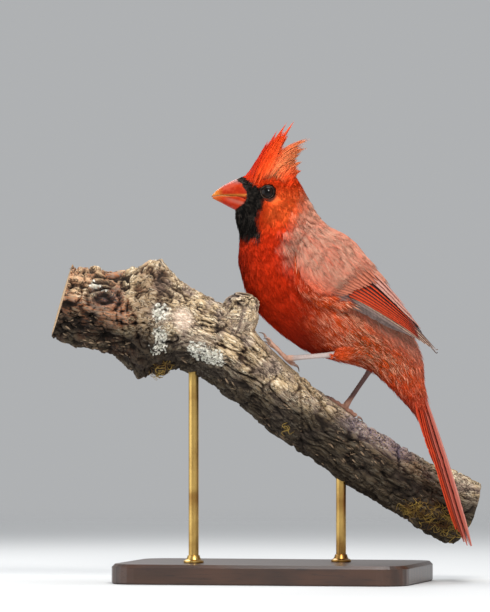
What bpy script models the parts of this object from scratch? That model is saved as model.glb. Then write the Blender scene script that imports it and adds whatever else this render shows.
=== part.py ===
# Northern cardinal, a life-size male, gripping a cut length of branch on a plain display stand.
# X runs from head to tail, +Y is the bird's right side and +Z is up. Sizes here are in millimetres,
# and each node is scaled to metres when it is finished.

import math

import bmesh
import bpy
import numpy as np
from mathutils import Matrix, Vector
from mathutils.bvhtree import BVHTree

MM = 0.001
GAP = 0.3  # clearance between nodes that touch

# Driving sizes of the bird
BODY_SIDES = 24
HEAD_TURN = math.radians(11)  # the head looks a little to the bird's left
TURN_AXIS_X = 6.5
TURN_LOW, TURN_HIGH = 168.0, 190.0  # heights between which the neck takes up the turn
EYE_RADIUS = 4.3
EYE_AT = (-2.0, 194.8)  # x and z of the eye's middle
EYE_SHOWS = 3.0  # radius of the opening between the lids
TARSUS_RADIUS = 1.3
TOE_RADIUS = 1.05
CLAW_LENGTH = 4.2
TOE_STEPS = 6

# Driving sizes of the stand
BASE_SIZE = (150.0, 92.0, 10.0)
BASE_CORNER = 14.0
BASE_BEVEL = 1.6
BASE_CENTRE = (1.0, -2.0)
ROD_RADIUS = 2.5
ROD_SINK = 6.0  # how far a rod goes into the base and into the perch

# Stations of the body, from face to tail: x and z of the upper edge, x and z of the lower edge,
# half width, and how much narrower the upper half is
BODY = (
    (-14.8, 202.0, -17.9, 189.5, 4.6, 0.05),
    (-8.7, 208.0, -18.7, 185.0, 7.0, 0.1),
    (0.0, 209.0, -18.9, 181.0, 9.2, 0.15),
    (9.0, 207.0, -17.9, 177.0, 11.5, 0.15),
    (15.4, 199.0, -17.1, 173.0, 13.8, 0.1),
    (23.0, 185.5, -17.6, 167.0, 17.0, 0.08),
    (32.7, 175.0, -17.9, 161.0, 20.5, 0.06),
    (44.6, 164.0, -16.4, 152.5, 24.0, 0.04),
    (55.5, 149.0, -11.2, 139.5, 25.0, 0.02),
    (64.0, 137.0, 0.5, 126.5, 24.0, 0.0),
    (70.6, 126.5, 17.4, 115.0, 20.5, 0.0),
    (75.0, 117.5, 34.8, 109.5, 16.0, 0.0),
    (76.9, 110.0, 48.6, 106.0, 12.5, 0.0),
    (77.0, 103.0, 58.8, 98.5, 10.0, 0.0),
    (77.4, 97.0, 65.4, 91.5, 8.2, 0.0),
    (79.3, 88.0, 72.0, 84.5, 6.0, 0.0),
    (81.0, 79.0, 76.6, 77.5, 3.5, 0.0),
)
NECK_TOP, NECK_FOOT, TAIL_START = 4.3, 5.35, 13.2  # stations where the body is parted

# Stations of the bill: x, z of its ridge, of the mouth line and of its keel, half width
BILL = (
    (-29.4, 193.9, 192.6, 191.7, 0.9),
    (-27.1, 196.0, 193.1, 190.5, 2.3),
    (-24.5, 197.8, 193.3, 189.2, 3.6),
    (-21.0, 199.6, 193.0, 187.3, 5.1),
    (-17.4, 201.2, 192.8, 185.6, 6.5),
    (-13.8, 202.3, 191.8, 184.6, 7.4),
    (-10.0, 202.6, 189.4, 184.4, 7.6),
)
BILL_TIP_UPPER, BILL_TIP_LOWER = (-30.3, 192.4), (-29.7, 191.9)

# Crest feathers, from forehead to nape: root x and z, tip x and z, and how far they bow forwards
CREST = (
    (-12.6, 203.5, -1.6, 221.8, -0.03),
    (-10.2, 205.5, 3.2, 226.4, -0.03),
    (-8.0, 206.5, 8.2, 229.8, 0.0),
    (-5.5, 207.5, 12.2, 230.4, 0.0),
    (-3.5, 208.0, 8.8, 223.4, 0.02),
    (-1.5, 208.0, 20.4, 221.6, 0.12),
    (1.0, 207.5, 18.6, 216.8, 0.12),
    (3.5, 206.5, 15.6, 214.2, 0.1),
    (6.0, 205.0, 15.8, 210.2, 0.1),
    (8.0, 203.0, 15.6, 205.8, 0.08),
)
CREST_WIDTH = 4.4
# The dense root of the crest: height, front, back and half width, up to less than half of the tips
CREST_CORE = (
    (202.5, -12.6, 12.0, 5.6),
    (206.5, -11.0, 11.4, 5.6),
    (210.5, -8.4, 9.6, 4.2),
    (214.5, -5.4, 6.8, 2.6),
    (217.0, -3.2, 3.8, 1.4),
)

# Ribs of the folded wing, from shoulder to tip: x, depth and z of the lower and upper edges
WING = (
    (16.3, 19.5, 166.0, 25.2, 9.0, 178.0),
    (21.2, 25.2, 153.0, 39.5, 8.5, 171.0),
    (29.1, 26.8, 145.0, 49.5, 7.5, 160.3),
    (42.7, 25.8, 139.5, 59.9, 6.8, 148.3),
    (57.1, 21.5, 131.5, 68.9, 6.0, 137.2),
    (67.8, 16.5, 125.0, 77.0, 5.4, 127.2),
    (74.6, 12.5, 121.0, 85.6, 5.0, 116.4),
)
WING_SPANS = len(WING) - 1
WING_CORE_END = 0.6

# Tail feathers by pair, the middle pair first: sideways offset, length, depth below the top one
TAIL_ROOT = (75.4, 100.0)
TAIL_TIP = (101.6, 18.8)
TAIL_PAIRS = (
    (1.1, 1.0, 0.0),
    (2.2, 1.0, 1.65),
    (3.0, 0.985, 2.45),
    (3.8, 0.96, 3.25),
    (4.6, 0.885, 4.05),
    (5.0, 0.5, 4.85),
)
TAIL_SPLAY = 0.012  # how far each pair turns outwards from the one above
TAIL_ROOF = math.radians(6)
TAIL_WIDTH = 8.2

# Centre line of the branch: x, y, z and radius
PERCH = (
    (-99.1, -38.9, 139.5, 18.2),
    (-88.5, -36.0, 136.5, 19.4),
    (-73.5, -31.9, 133.5, 19.0),
    (-57.5, -27.6, 131.5, 24.5),
    (-48.3, -25.1, 129.5, 22.4),
    (-38.2, -22.4, 126.4, 19.2),
    (-28.0, -20.2, 121.9, 18.6),
    (-18.9, -17.6, 115.2, 18.0),
    (-9.4, -13.3, 105.8, 16.8),
    (1.1, -7.5, 95.5, 15.5),
    (14.1, -1.3, 84.0, 15.3),
    (26.6, 4.6, 74.5, 15.4),
    (40.6, 11.2, 63.5, 15.0),
    (57.3, 19.2, 52.5, 15.3),
    (67.9, 24.6, 46.0, 15.5),
    (80.9, 31.4, 38.5, 16.2),
    (91.6, 36.9, 33.5, 16.2),
)
PERCH_SIDES, PERCH_RINGS = 20, 40
# Swellings on the branch: x, y and z they rise towards, height, spread
KNOBS = (
    (-66.0, -29.0, 162.0, 4.5, 6.0),
    (-52.0, -27.0, 156.0, 2.5, 5.0),
    (-58.0, -26.0, 100.0, 6.0, 7.0),
    (-90.0, -40.0, 160.0, 2.2, 7.0),
    (-44.0, -44.0, 132.0, 2.0, 8.0),
    (92.0, 36.0, 52.0, 1.6, 5.0),
)

# Legs: heel, end of the shank, thigh root, and which way the middle toe points
LEGS = {
    "left": dict(
        side=-1, thigh=((53, -9.5, 119.5, 7.0), (46, -13.4, 116.6, 5.8), (38.8, -16.0, 114.6, 4.2)),
        heel=(36.4, -16.3, 114.0), foot=(10.6, -9.0, 112.2), toes=(-1.0, -0.3, 0.8),
    ),
    "right": dict(
        side=1, thigh=((58, 9.5, 115.0, 6.5), (53.5, 11.2, 111.5, 4.6), (50.2, 12.0, 108.6, 3.0)),
        heel=(48.6, 12.3, 107.4), foot=(35.4, 14.6, 89.0), toes=(-1.0, 0.3, 0.7),
    ),
}
# Toes: name, turn from the middle toe in degrees, length, share of the toes' radius
TOES = (("inner", 32, 9.0, 0.92), ("middle", 0, 12.0, 1.0), ("outer", -32, 9.0, 0.9), ("hind", 172, 7.5, 1.1))

COLOURS = {
    "plumage": ((0.62, 0.05, 0.02), 0.75, 0.0),
    "wing_plumage": ((0.45, 0.11, 0.08), 0.75, 0.0),
    "bill": ((0.83, 0.16, 0.05), 0.35, 0.0),
    "eye": ((0.012, 0.008, 0.006), 0.06, 0.0),
    "leg_skin": ((0.28, 0.18, 0.15), 0.55, 0.0),
    "claw": ((0.07, 0.05, 0.045), 0.35, 0.0),
    "bark": ((0.24, 0.18, 0.13), 0.9, 0.0),
    "stand_wood": ((0.05, 0.03, 0.02), 0.4, 0.0),
    "stand_brass": ((0.62, 0.45, 0.2), 0.3, 1.0),
}


# General tools

def clear_scene():
    for obj in list(bpy.data.objects):
        bpy.data.objects.remove(obj, do_unlink=True)


def material(name):
    made = bpy.data.materials.get(name)
    if made:
        return made
    colour, roughness, metallic = COLOURS[name]
    made = bpy.data.materials.new(name)
    made.use_nodes = True
    shader = made.node_tree.nodes["Principled BSDF"]
    shader.inputs["Base Color"].default_value = (*colour, 1.0)
    shader.inputs["Roughness"].default_value = roughness
    shader.inputs["Metallic"].default_value = metallic
    return made


def spline(rows, t):
    """The smooth curve through the rows, read at t, which counts rows from 0."""
    rows = np.asarray(rows, float)
    i = min(max(int(t), 0), len(rows) - 2)
    f = t - i
    before, here, there = rows[max(i - 1, 0)], rows[i], rows[i + 1]
    after = rows[min(i + 2, len(rows) - 1)]
    return 0.5 * (
        2 * here + (there - before) * f
        + (2 * before - 5 * here + 4 * there - after) * f * f
        + (3 * here - before - 3 * there + after) * f ** 3
    )


def smooth_step(x):
    x = min(max(x, 0.0), 1.0)
    return x * x * (3 - 2 * x)


def unit(v):
    v = np.asarray(v, float)
    return v / np.linalg.norm(v)


def turned(v, axis, angle):
    """The vector v turned about a unit axis."""
    c, s = math.cos(angle), math.sin(angle)
    return v * c + np.cross(axis, v) * s + axis * np.dot(axis, v) * (1 - c)


def make(name, points, faces):
    """A mesh object in millimetres whose faces point outwards."""
    mesh = bpy.data.meshes.new(name)
    mesh.from_pydata([tuple(p) for p in points], [], faces)
    shape = bmesh.new()
    shape.from_mesh(mesh)
    bmesh.ops.recalc_face_normals(shape, faces=shape.faces)
    if shape.calc_volume(signed=True) < 0:
        bmesh.ops.reverse_faces(shape, faces=shape.faces)
    shape.to_mesh(mesh)
    shape.free()
    obj = bpy.data.objects.new(name, mesh)
    bpy.context.scene.collection.objects.link(obj)
    return obj


def loft(name, rings, start=None, end=None):
    """A closed skin over rings of equal count. Each end is a fan to a point, by default its middle."""
    rings = [np.asarray(r, float) for r in rings]
    sides = len(rings[0])
    points = [p for ring in rings for p in ring]
    faces = []
    for i in range(len(rings) - 1):
        for k in range(sides):
            a, b = i * sides + k, i * sides + (k + 1) % sides
            c, d = b + sides, a + sides
            faces += [(a, b, c), (a, c, d)]
    for ring, pole, first in ((rings[0], start, 0), (rings[-1], end, (len(rings) - 1) * sides)):
        points.append(ring.mean(axis=0) if pole is None else np.asarray(pole, float))
        top = len(points) - 1
        for k in range(sides):
            pair = (first + k, first + (k + 1) % sides)
            faces.append((top, *(pair[::-1] if first == 0 else pair)))
    return make(name, points, faces)


def tube(name, path, radii, sides, start=None, end=None):
    """A round tube along a path of points."""
    path = [np.asarray(p, float) for p in path]
    across = None
    rings = []
    for i, p in enumerate(path):
        along = unit(path[min(i + 1, len(path) - 1)] - path[max(i - 1, 0)])
        if across is None:
            across = np.cross(along, (0, 0, 1)) if abs(along[2]) < 0.9 else np.cross(along, (0, 1, 0))
        across = unit(across - along * np.dot(across, along))
        up = np.cross(across, along)
        turns = [2 * math.pi * k / sides for k in range(sides)]
        rings.append([p + radii[i] * (math.cos(a) * across + math.sin(a) * up) for a in turns])
    return loft(name, rings, start, end)


def ball(name, centre, radius, columns, rows):
    """A round ball with its poles above and below."""
    rings = []
    for i in range(1, rows):
        a = math.pi * i / rows
        rings.append([
            (centre[0] + radius * math.sin(a) * math.cos(2 * math.pi * k / columns),
             centre[1] + radius * math.sin(a) * math.sin(2 * math.pi * k / columns),
             centre[2] + radius * math.cos(a))
            for k in range(columns)
        ])
    top, bottom = np.array(centre) + (0, 0, radius), np.array(centre) - (0, 0, radius)
    return loft(name, rings, top, bottom)


def vane(name, centres, acrosses, normals, widths, thickness, camber=0.0):
    """A thin plate along a line of centres, triangulated alike on both faces."""
    shares = (-0.5, 0.0, 0.5) if camber else (-0.5, 0.5)
    count = len(shares)
    points, faces = [], []
    for face in (0.5, -0.5):
        for p, a, n, w in zip(centres, acrosses, normals, widths):
            for s in shares:
                rise = camber * (1 - (2 * s) ** 2)
                points.append(p + a * s * w + n * (rise + face * thickness))
    stations = len(centres)
    other = stations * count
    for i in range(stations - 1):
        for k in range(count - 1):
            a, b = i * count + k, i * count + k + 1
            c, d = b + count, a + count
            faces += [(a, b, c), (a, c, d)]
            faces += [(other + a, other + c, other + b), (other + a, other + d, other + c)]
        for edge, flip in ((0, False), (count - 1, True)):
            a, b = i * count + edge, (i + 1) * count + edge
            quad = (a, b, other + b, other + a)
            faces.append(quad[::-1] if flip else quad)
    for row, flip in ((0, True), (stations - 1, False)):
        for k in range(count - 1):
            a, b = row * count + k, row * count + k + 1
            quad = (a, b, other + b, other + a)
            faces.append(quad[::-1] if flip else quad)
    return make(name, points, faces)


def is_closed(mesh):
    """Whether every edge of the mesh has two faces, and there are faces at all."""
    uses = {}
    for face in mesh.polygons:
        for key in face.edge_keys:
            uses[key] = uses.get(key, 0) + 1
    return bool(uses) and all(count == 2 for count in uses.values())


def boolean(obj, operation, operand):
    """Applies one Boolean by the exact solver, or by the manifold one where that fails."""
    for solver in ("EXACT", "MANIFOLD"):
        step = obj.modifiers.new("step", "BOOLEAN")
        step.operation, step.solver = operation, solver
        if isinstance(operand, bpy.types.Collection):
            step.operand_type, step.collection = "COLLECTION", operand
        else:
            step.object = operand
        graph = bpy.context.evaluated_depsgraph_get()
        mesh = bpy.data.meshes.new_from_object(obj.evaluated_get(graph))
        obj.modifiers.clear()
        if is_closed(mesh):
            break
    obj.data = mesh


def surfaces(shape):
    """The separate surfaces of a mesh, smallest first."""
    left, groups = set(shape.faces), []
    while left:
        group, edge = set(), [left.pop()]
        while edge:
            face = edge.pop()
            group.add(face)
            for e in face.edges:
                for near in e.link_faces:
                    if near in left:
                        left.discard(near)
                        edge.append(near)
        groups.append(group)
    return sorted(groups, key=lambda g: sum(f.calc_area() for f in g))


def turn_slivers(shape):
    """Turns the long edge of each triangle that is nearly flat, so that the sliver goes."""
    for _ in range(3):
        flat = []
        for face in shape.faces:
            longest = max(face.edges, key=lambda e: e.calc_length())
            if 2 * face.calc_area() < 0.012 * longest.calc_length() and len(longest.link_faces) == 2:
                flat.append(longest)
        if not flat:
            return
        bmesh.ops.rotate_edges(shape, edges=list(dict.fromkeys(flat)), use_ccw=False)


def largest_only(obj):
    """Keeps the largest surface of the mesh as triangles, and merges slivers where that leaves it closed."""
    for merge in (0.08, 0.05, 0.03, 0.02, 0.01, 0.005, 0.001, 0.0):
        shape = bmesh.new()
        shape.from_mesh(obj.data)
        bmesh.ops.triangulate(shape, faces=shape.faces)
        if merge:
            bmesh.ops.dissolve_degenerate(shape, dist=merge, edges=shape.edges)
            bmesh.ops.triangulate(shape, faces=shape.faces)
            turn_slivers(shape)
        loose = [f for group in surfaces(shape)[:-1] for f in group]
        bmesh.ops.delete(shape, geom=loose, context="FACES")
        bmesh.ops.delete(shape, geom=[v for v in shape.verts if not v.link_faces], context="VERTS")
        closed = all(len(e.link_faces) == 2 for e in shape.edges)
        if closed or not merge:
            shape.to_mesh(obj.data)
            shape.free()
            return
        shape.free()


def union(pieces):
    """Joins closed mesh objects into the first of them."""
    first = pieces[0]
    group = bpy.data.collections.new(first.name + "_pieces")
    for piece in pieces[1:]:
        group.objects.link(piece)
    boolean(first, "UNION", group)
    for piece in pieces[1:]:
        bpy.data.objects.remove(piece, do_unlink=True)
    bpy.data.collections.remove(group)
    largest_only(first)
    return first


def cut(obj, cutters):
    """Takes the cutters away from the object, and removes them."""
    for cutter in cutters:
        boolean(obj, "DIFFERENCE", cutter)
        bpy.data.objects.remove(cutter, do_unlink=True)
    largest_only(obj)
    return obj


def part_by_plane(obj, point, normal):
    """Keeps what lies behind the plane, and closes the cut."""
    shape = bmesh.new()
    shape.from_mesh(obj.data)
    geometry = list(shape.verts) + list(shape.edges) + list(shape.faces)
    done = bmesh.ops.bisect_plane(
        shape, geom=geometry, plane_co=point, plane_no=normal, clear_outer=True, dist=1e-5
    )
    rim = [e for e in done["geom_cut"] if isinstance(e, bmesh.types.BMEdge)]
    bmesh.ops.contextual_create(shape, geom=rim)
    bmesh.ops.triangulate(shape, faces=[f for f in shape.faces if len(f.verts) > 3])
    bmesh.ops.recalc_face_normals(shape, faces=shape.faces)
    shape.to_mesh(obj.data)
    shape.free()
    return obj


def turn_head(obj):
    """Turns what lies above the neck about an upright axis."""
    for v in obj.data.vertices:
        share = smooth_step((v.co.z - TURN_LOW) / (TURN_HIGH - TURN_LOW))
        c, s = math.cos(HEAD_TURN * share), math.sin(HEAD_TURN * share)
        x, y = v.co.x - TURN_AXIS_X, v.co.y
        v.co.x, v.co.y = TURN_AXIS_X + x * c - y * s, x * s + y * c


def finish(obj, name, finish_name, sharp=math.radians(40)):
    """Names a node, scales it to metres and gives it its material."""
    obj.name = obj.data.name = name
    for v in obj.data.vertices:
        v.co *= MM
    obj.data.materials.clear()
    obj.data.materials.append(material(finish_name))
    obj.data.shade_smooth()
    obj.data.set_sharp_from_angle(angle=sharp)
    return obj


# Head, neck and torso

def body_ring(t, sides=BODY_SIDES):
    """The body's outline at station t."""
    top_x, top_z, low_x, low_z, half, narrow = spline(BODY, t)
    mid = np.array(((top_x + low_x) / 2, 0, (top_z + low_z) / 2))
    up = np.array(((top_x - low_x) / 2, 0, (top_z - low_z) / 2))
    ring = []
    for k in range(sides):
        a = 2 * math.pi * k / sides
        width = half * (1 - narrow * max(math.cos(a), 0))
        ring.append(mid + up * math.cos(a) + np.array((0, width * math.sin(a), 0)))
    return ring


def body_whole(stations):
    """The whole body from face to tail as one skin."""
    return loft("body", [body_ring(t) for t in stations], start=(-17.6, 0, 195.5))


def parting(t):
    """The plane across the body at station t: a point on it, and its normal towards the tail."""
    top_x, top_z, low_x, low_z, _, _ = spline(BODY, t)
    point = np.array(((top_x + low_x) / 2, 0, (top_z + low_z) / 2))
    rib = unit((top_x - low_x, 0, top_z - low_z))
    return point, np.cross((0, 1, 0), rib)


def body_piece(stations, start=None, end=None):
    """A length of the body between two partings, each set back by half a gap."""
    piece = body_whole(stations)
    if end is not None:
        point, towards_tail = parting(end)
        part_by_plane(piece, point - towards_tail * GAP / 2, towards_tail)
    if start is not None:
        point, towards_tail = parting(start)
        part_by_plane(piece, point + towards_tail * GAP / 2, -towards_tail)
    return piece


def bill_half(name, upper, grow=0.0):
    """One half of the bill, rooted inside the face. grow makes the cutter for its seat."""
    arc = 8
    rings = []
    for x, ridge, mouth, keel, half in BILL:
        far = ridge if upper else keel
        edge = mouth + (0.5 * GAP if upper else -0.5 * GAP)
        if grow:
            edge -= grow if upper else -grow
        height = far - edge + math.copysign(grow, far - edge)
        wide = half + grow
        ring = []
        for k in range(arc + 1):
            a = math.pi * k / arc
            ring.append((x, wide * math.cos(a), edge + height * math.sin(a) ** 0.85))
        ring += [(x, wide * s, edge) for s in (-0.5, 0.0, 0.5)]
        rings.append(ring)
    tip_x, tip_z = BILL_TIP_UPPER if upper else BILL_TIP_LOWER
    if grow:
        rings.append([(x + grow, y, z) for x, y, z in rings[-1]])
    return loft(name, rings, start=(tip_x, 0, tip_z))


def nostrils():
    """Two small pits at the root of the upper bill."""
    return [ball("pit", (-16.2, side * 4.4, 198.6), 0.75, 8, 6) for side in (-1, 1)]


def crest_core():
    rings = []
    for z, front, back, half in CREST_CORE:
        middle, reach = (front + back) / 2, (back - front) / 2
        turns = [2 * math.pi * k / 12 for k in range(12)]
        rings.append([(middle + reach * math.cos(a), half * math.sin(a), z) for a in turns])
    top = CREST_CORE[-1]
    return loft("crest_core", rings, end=((top[1] + top[2]) / 2, 0, top[0] + 1.2))


def crest_feather(row, side, layer, share):
    """A narrow pointed feather. Its rear edge stands out over the front edge of the next one."""
    root_x, root_z, tip_x, tip_z, bow = row
    root = np.array((root_x, side * (1.5 + 2.3 * layer), root_z - 1.6 * layer))
    tip = np.array((root_x + (tip_x - root_x) * share, side * (0.75 + 1.25 * layer), root_z + (tip_z - root_z) * share))
    chord = tip - root
    fore = unit((-chord[2], 0, chord[0])) * np.linalg.norm(chord) * bow * share
    stations = (0.0, 0.4, 0.75, 1.0)
    centres = [root + chord * t + fore * math.sin(math.pi * t) for t in stations]
    acrosses, normals = [], []
    for i, t in enumerate(stations):
        along = unit(centres[min(i + 1, 3)] - centres[max(i - 1, 0)])
        rear = unit(np.cross((0, 1, 0), along))
        rear = rear if rear[0] > 0 else -rear
        lean = math.radians(15 * (1 - 0.7 * t))
        across = unit(rear * math.cos(lean) + np.array((0, side, 0)) * math.sin(lean))
        across = unit(across - along * np.dot(across, along))
        acrosses.append(across)
        normals.append(unit(np.cross(along, across)))
    widths = [CREST_WIDTH * (1 - 0.15 * layer) * w for w in (0.8, 1.0, 0.66, 0.1)]
    return vane("crest_feather", centres, acrosses, normals, widths, 0.55)


def crest_feathers():
    """Two layers on each side. The outer layer is shorter, and the right side hides behind the left."""
    pick = np.random.default_rng(7)
    made = []
    for side in (-1, 1):
        for row in CREST:
            made.append(crest_feather(row, side, 0, 1.0 if side < 0 else pick.uniform(0.93, 0.98)))
        for row in CREST[::2]:
            made.append(crest_feather(row, side, 1, pick.uniform(0.66, 0.76)))
    return made


def eye_place(head_tree, side):
    """The eye's middle and its outward axis, found on the head's surface."""
    start = Vector((EYE_AT[0], side * 40, EYE_AT[1]))
    surface, _, _, _ = head_tree.ray_cast(start, Vector((0, -side, 0)))
    axis = unit((-0.16, side, 0.06))
    sink = math.sqrt(EYE_RADIUS ** 2 - EYE_SHOWS ** 2)
    return np.array(surface) - axis * (sink - 0.25), axis


def lid_ring(centre, axis):
    """The rim of both lids round the eye's opening."""
    level = math.sqrt(EYE_RADIUS ** 2 - EYE_SHOWS ** 2)
    up = unit(np.array((0, 0, 1)) - axis * axis[2])
    fore = np.cross(up, axis)
    rings = []
    columns, ring_sides, thick = 14, 5, 0.75
    for k in range(columns):
        a = 2 * math.pi * k / columns
        out = fore * math.cos(a) * 1.06 + up * math.sin(a) * 0.94
        middle = centre + axis * level + out * (EYE_SHOWS + 0.35)
        turns = [2 * math.pi * j / ring_sides for j in range(ring_sides)]
        rings.append([middle + thick * (math.cos(b) * out + math.sin(b) * axis) for b in turns])
    points = [p for ring in rings for p in ring]
    faces = []
    for k in range(columns):
        for j in range(ring_sides):
            a, b = k * ring_sides + j, k * ring_sides + (j + 1) % ring_sides
            c, d = ((k + 1) % columns) * ring_sides + (j + 1) % ring_sides, ((k + 1) % columns) * ring_sides + j
            faces += [(a, b, c), (a, c, d)]
    return make("lids", points, faces)


def tree_of(obj):
    mesh = obj.data
    return BVHTree.FromPolygons([v.co for v in mesh.vertices], [tuple(p.vertices) for p in mesh.polygons])


def build_head():
    stations = [0.0, 0.35, 0.8, 1.3, 1.8, 2.3, 2.8, 3.3, 3.8, 4.2, 4.6, 5.2]
    head = body_piece(stations, end=NECK_TOP)
    places = {side: eye_place(tree_of(head), side) for side in (-1, 1)}
    lids = [lid_ring(*places[side]) for side in (-1, 1)]
    head = union([head, crest_core(), *lids, *crest_feathers()])
    sockets = [ball("socket", places[side][0], EYE_RADIUS + GAP, 14, 8) for side in (-1, 1)]
    seats = [bill_half("seat", upper, grow=GAP + 0.2) for upper in (True, False)]
    head = cut(head, sockets + seats)
    turn_head(head)
    finish(head, "head", "plumage")
    for side, word in ((-1, "left"), (1, "right")):
        eye = ball("eye", places[side][0], EYE_RADIUS, 14, 8)
        turn_head(eye)
        finish(eye, "eye_" + word, "eye")
    upper = cut(bill_half("bill", True), nostrils())
    lower = bill_half("bill", False)
    for half, word in ((upper, "upper"), (lower, "lower")):
        turn_head(half)
        finish(half, "bill_" + word, "bill")


def build_neck():
    neck = body_piece([3.8, 4.2, 4.6, 5.0, 5.4, 5.8, 6.2], start=NECK_TOP, end=NECK_FOOT)
    turn_head(neck)
    finish(neck, "neck", "plumage")


def build_torso(rooms):
    stations = [4.9, 5.3, 5.8, 6.3, 6.8, 7.3, 7.8, 8.3, 8.8, 9.3, 9.8, 10.3, 10.8, 11.3, 11.8, 12.3, 12.8, 13.3, 13.8]
    torso = body_piece(stations, start=NECK_FOOT, end=TAIL_START)
    turn_head(torso)
    cut(torso, rooms)
    finish(torso, "torso", "plumage")


# Wings

def wing_sheet(a, b):
    """A point of the left wing's middle surface: a from shoulder to tip, b from lower to upper edge."""
    low_x, low_y, low_z, top_x, top_y, top_z = spline(WING, a * WING_SPANS)
    depth = top_y + (low_y - top_y) * math.sqrt(max(1 - b * b, 0))
    return np.array((low_x + (top_x - low_x) * b, -depth, low_z + (top_z - low_z) * b))


def wing_normal(a, b):
    """The outward normal of the wing's middle surface."""
    step = 0.01
    b = min(max(b, step), 0.97)
    a = min(max(a, step), 1 - step)
    along = wing_sheet(a + step, b) - wing_sheet(a - step, b)
    across = wing_sheet(a, b + step) - wing_sheet(a, b - step)
    normal = unit(np.cross(along, across))
    outward = np.array((0.0, -1.0, 0.0)) + unit(wing_sheet(a, 1.0) - wing_sheet(a, 0.0)) * b
    return normal if np.dot(normal, outward) > 0 else -normal


WING_ROWS = [math.sin(math.radians(angle)) for angle in (0, 18, 36, 54, 72, 86)]


def wing_slab(name, stations, inner, outer, lap=0.0):
    """A closed slab round the wing's middle surface. inner and outer give its two depths at a, b.
    lap carries it on past the upper and lower edges."""
    def place(a, b):
        if b > 1:
            return wing_sheet(a, 1.0) + np.array((0, lap, 0))
        if b < 0:
            low, near = wing_sheet(a, 0.0), wing_sheet(a, 0.05)
            return low + unit(low - near) * lap
        return wing_sheet(a, b)

    across = ([-1.0] + WING_ROWS + [2.0]) if lap else WING_ROWS
    rows, columns = len(across) - 1, len(stations) - 1
    grid = [(a, b) for a in stations for b in across]
    points, faces = [], []
    for depth, sign in ((outer, 1), (inner, -1)):
        for a, b in grid:
            points.append(place(a, b) + wing_normal(a, b) * sign * depth(a, b))
    wide = rows + 1
    other = len(grid)
    for i in range(columns):
        for j in range(rows):
            a, b, c, d = i * wide + j, i * wide + j + 1, (i + 1) * wide + j + 1, (i + 1) * wide + j
            faces += [(a, b, c), (a, c, d)]
            faces += [(other + a, other + c, other + b), (other + a, other + d, other + c)]
    rim = [j for j in range(rows)] + [i * wide + rows for i in range(columns)]
    rim += [columns * wide + j for j in range(rows, 0, -1)] + [i * wide for i in range(columns, 0, -1)]
    for k, p in enumerate(rim):
        q = rim[(k + 1) % len(rim)]
        faces.append((p, q, other + q, other + p))
    return make(name, points, faces)


CORE_STATIONS = [WING_CORE_END * i / 8 for i in range(9)]


def core_rounding(a, b):
    """How full the wing's fleshy part is, from 0 at its rim to 1 inside."""
    across = 1 - abs(2 * min(max(b, 0), 1) - 1) ** 4
    along = min(a / 0.16, (WING_CORE_END - a) / 0.26, 1.0)
    return math.sqrt(max(across * max(along, 0), 0))


def core_inner(a, b):
    return 0.45 + 1.5 * core_rounding(a, b)


def core_outer(a, b):
    return 0.3 + 1.7 * core_rounding(a, b)


def wing_room():
    """Everything that the left wing needs clear of the torso."""
    def inner(a, b):
        under_vanes = 1.15 * smooth_step((a - 0.38) / 0.1)
        return max(core_inner(a, b), under_vanes) + GAP + 0.05

    def outer(a, b):
        return 7.0

    return wing_slab("wing_room", [-0.05] + CORE_STATIONS + [0.68, 0.76, 0.84, 0.92, 1.0], inner, outer, lap=1.6)


def wing_vane(root, tip, width, lift, tilt, shape, thickness=0.5):
    """A feather on the wing, from root to tip in the surface's own a and b."""
    stations = (0.0, 0.45, 0.85, 1.0)
    centres, acrosses, normals = [], [], []
    for t in stations:
        a = root[0] + (tip[0] - root[0]) * t
        b = root[1] + (tip[1] - root[1]) * t
        normal = wing_normal(a, b)
        ahead = wing_sheet(min(a + 0.01, 1.0), b + (tip[1] - root[1]) * 0.01 / max(tip[0] - root[0], 0.01))
        behind = wing_sheet(a - 0.01, b - (tip[1] - root[1]) * 0.01 / max(tip[0] - root[0], 0.01))
        along = unit(ahead - behind)
        across = unit(np.cross(normal, along))
        if across[2] < 0:
            across = -across
        lean = turned(across, along, tilt)
        if np.dot(lean, normal) > 0:
            lean = turned(across, along, -tilt)
        centres.append(wing_sheet(a, b) + normal * lift * smooth_step(0.35 + t * 1.6))
        acrosses.append(lean)
        normals.append(unit(normal - lean * np.dot(normal, lean)))
    return vane("wing_feather", centres, acrosses, normals, [width * w for w in shape], thickness)


FLIGHT = (0.5, 1.0, 0.9, 0.3)
COVERT = (0.6, 1.0, 0.9, 0.4)


def wing_feathers():
    """The tiers of the folded wing, from the primaries below to the coverts on top."""
    made = []
    for i, reach in enumerate((0.88, 0.91, 0.94, 0.97, 1.0, 1.05)):
        made.append(wing_vane((0.44, 0.1 + 0.07 * i), (reach, 0.07 + 0.18 * i), 5.4, -1.1, 0.3, FLIGHT))
    for i in range(5):
        made.append(wing_vane((0.4, 0.34 + 0.1 * i), (0.86 - 0.008 * abs(i - 2), 0.4 + 0.11 * i), 5.2, 0.35, 0.36, FLIGHT))
    for i in range(3):
        made.append(wing_vane((0.36, 0.72 + 0.06 * i), (0.82 - 0.08 * i, 0.8 + 0.06 * i), 6.4, 1.5, 0.26, FLIGHT))
    for i in range(6):
        b = 0.16 + 0.14 * i
        made.append(wing_vane((0.24, b - 0.02), (0.5 - 0.01 * abs(i - 3), b + 0.03), 5.2, 2.1, 0.26, COVERT))
    for i in range(5):
        b = 0.15 + 0.165 * i
        made.append(wing_vane((0.13, b - 0.02), (0.345 - 0.008 * abs(i - 3), b + 0.02), 5.4, 2.6, 0.22, COVERT))
    for i in range(2):
        made.append(wing_vane((0.22, 0.06 + 0.03 * i), (0.54 - 0.08 * i, 0.05 + 0.07 * i), 3.6, 1.5, 0.3, COVERT))
    return made


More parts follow.
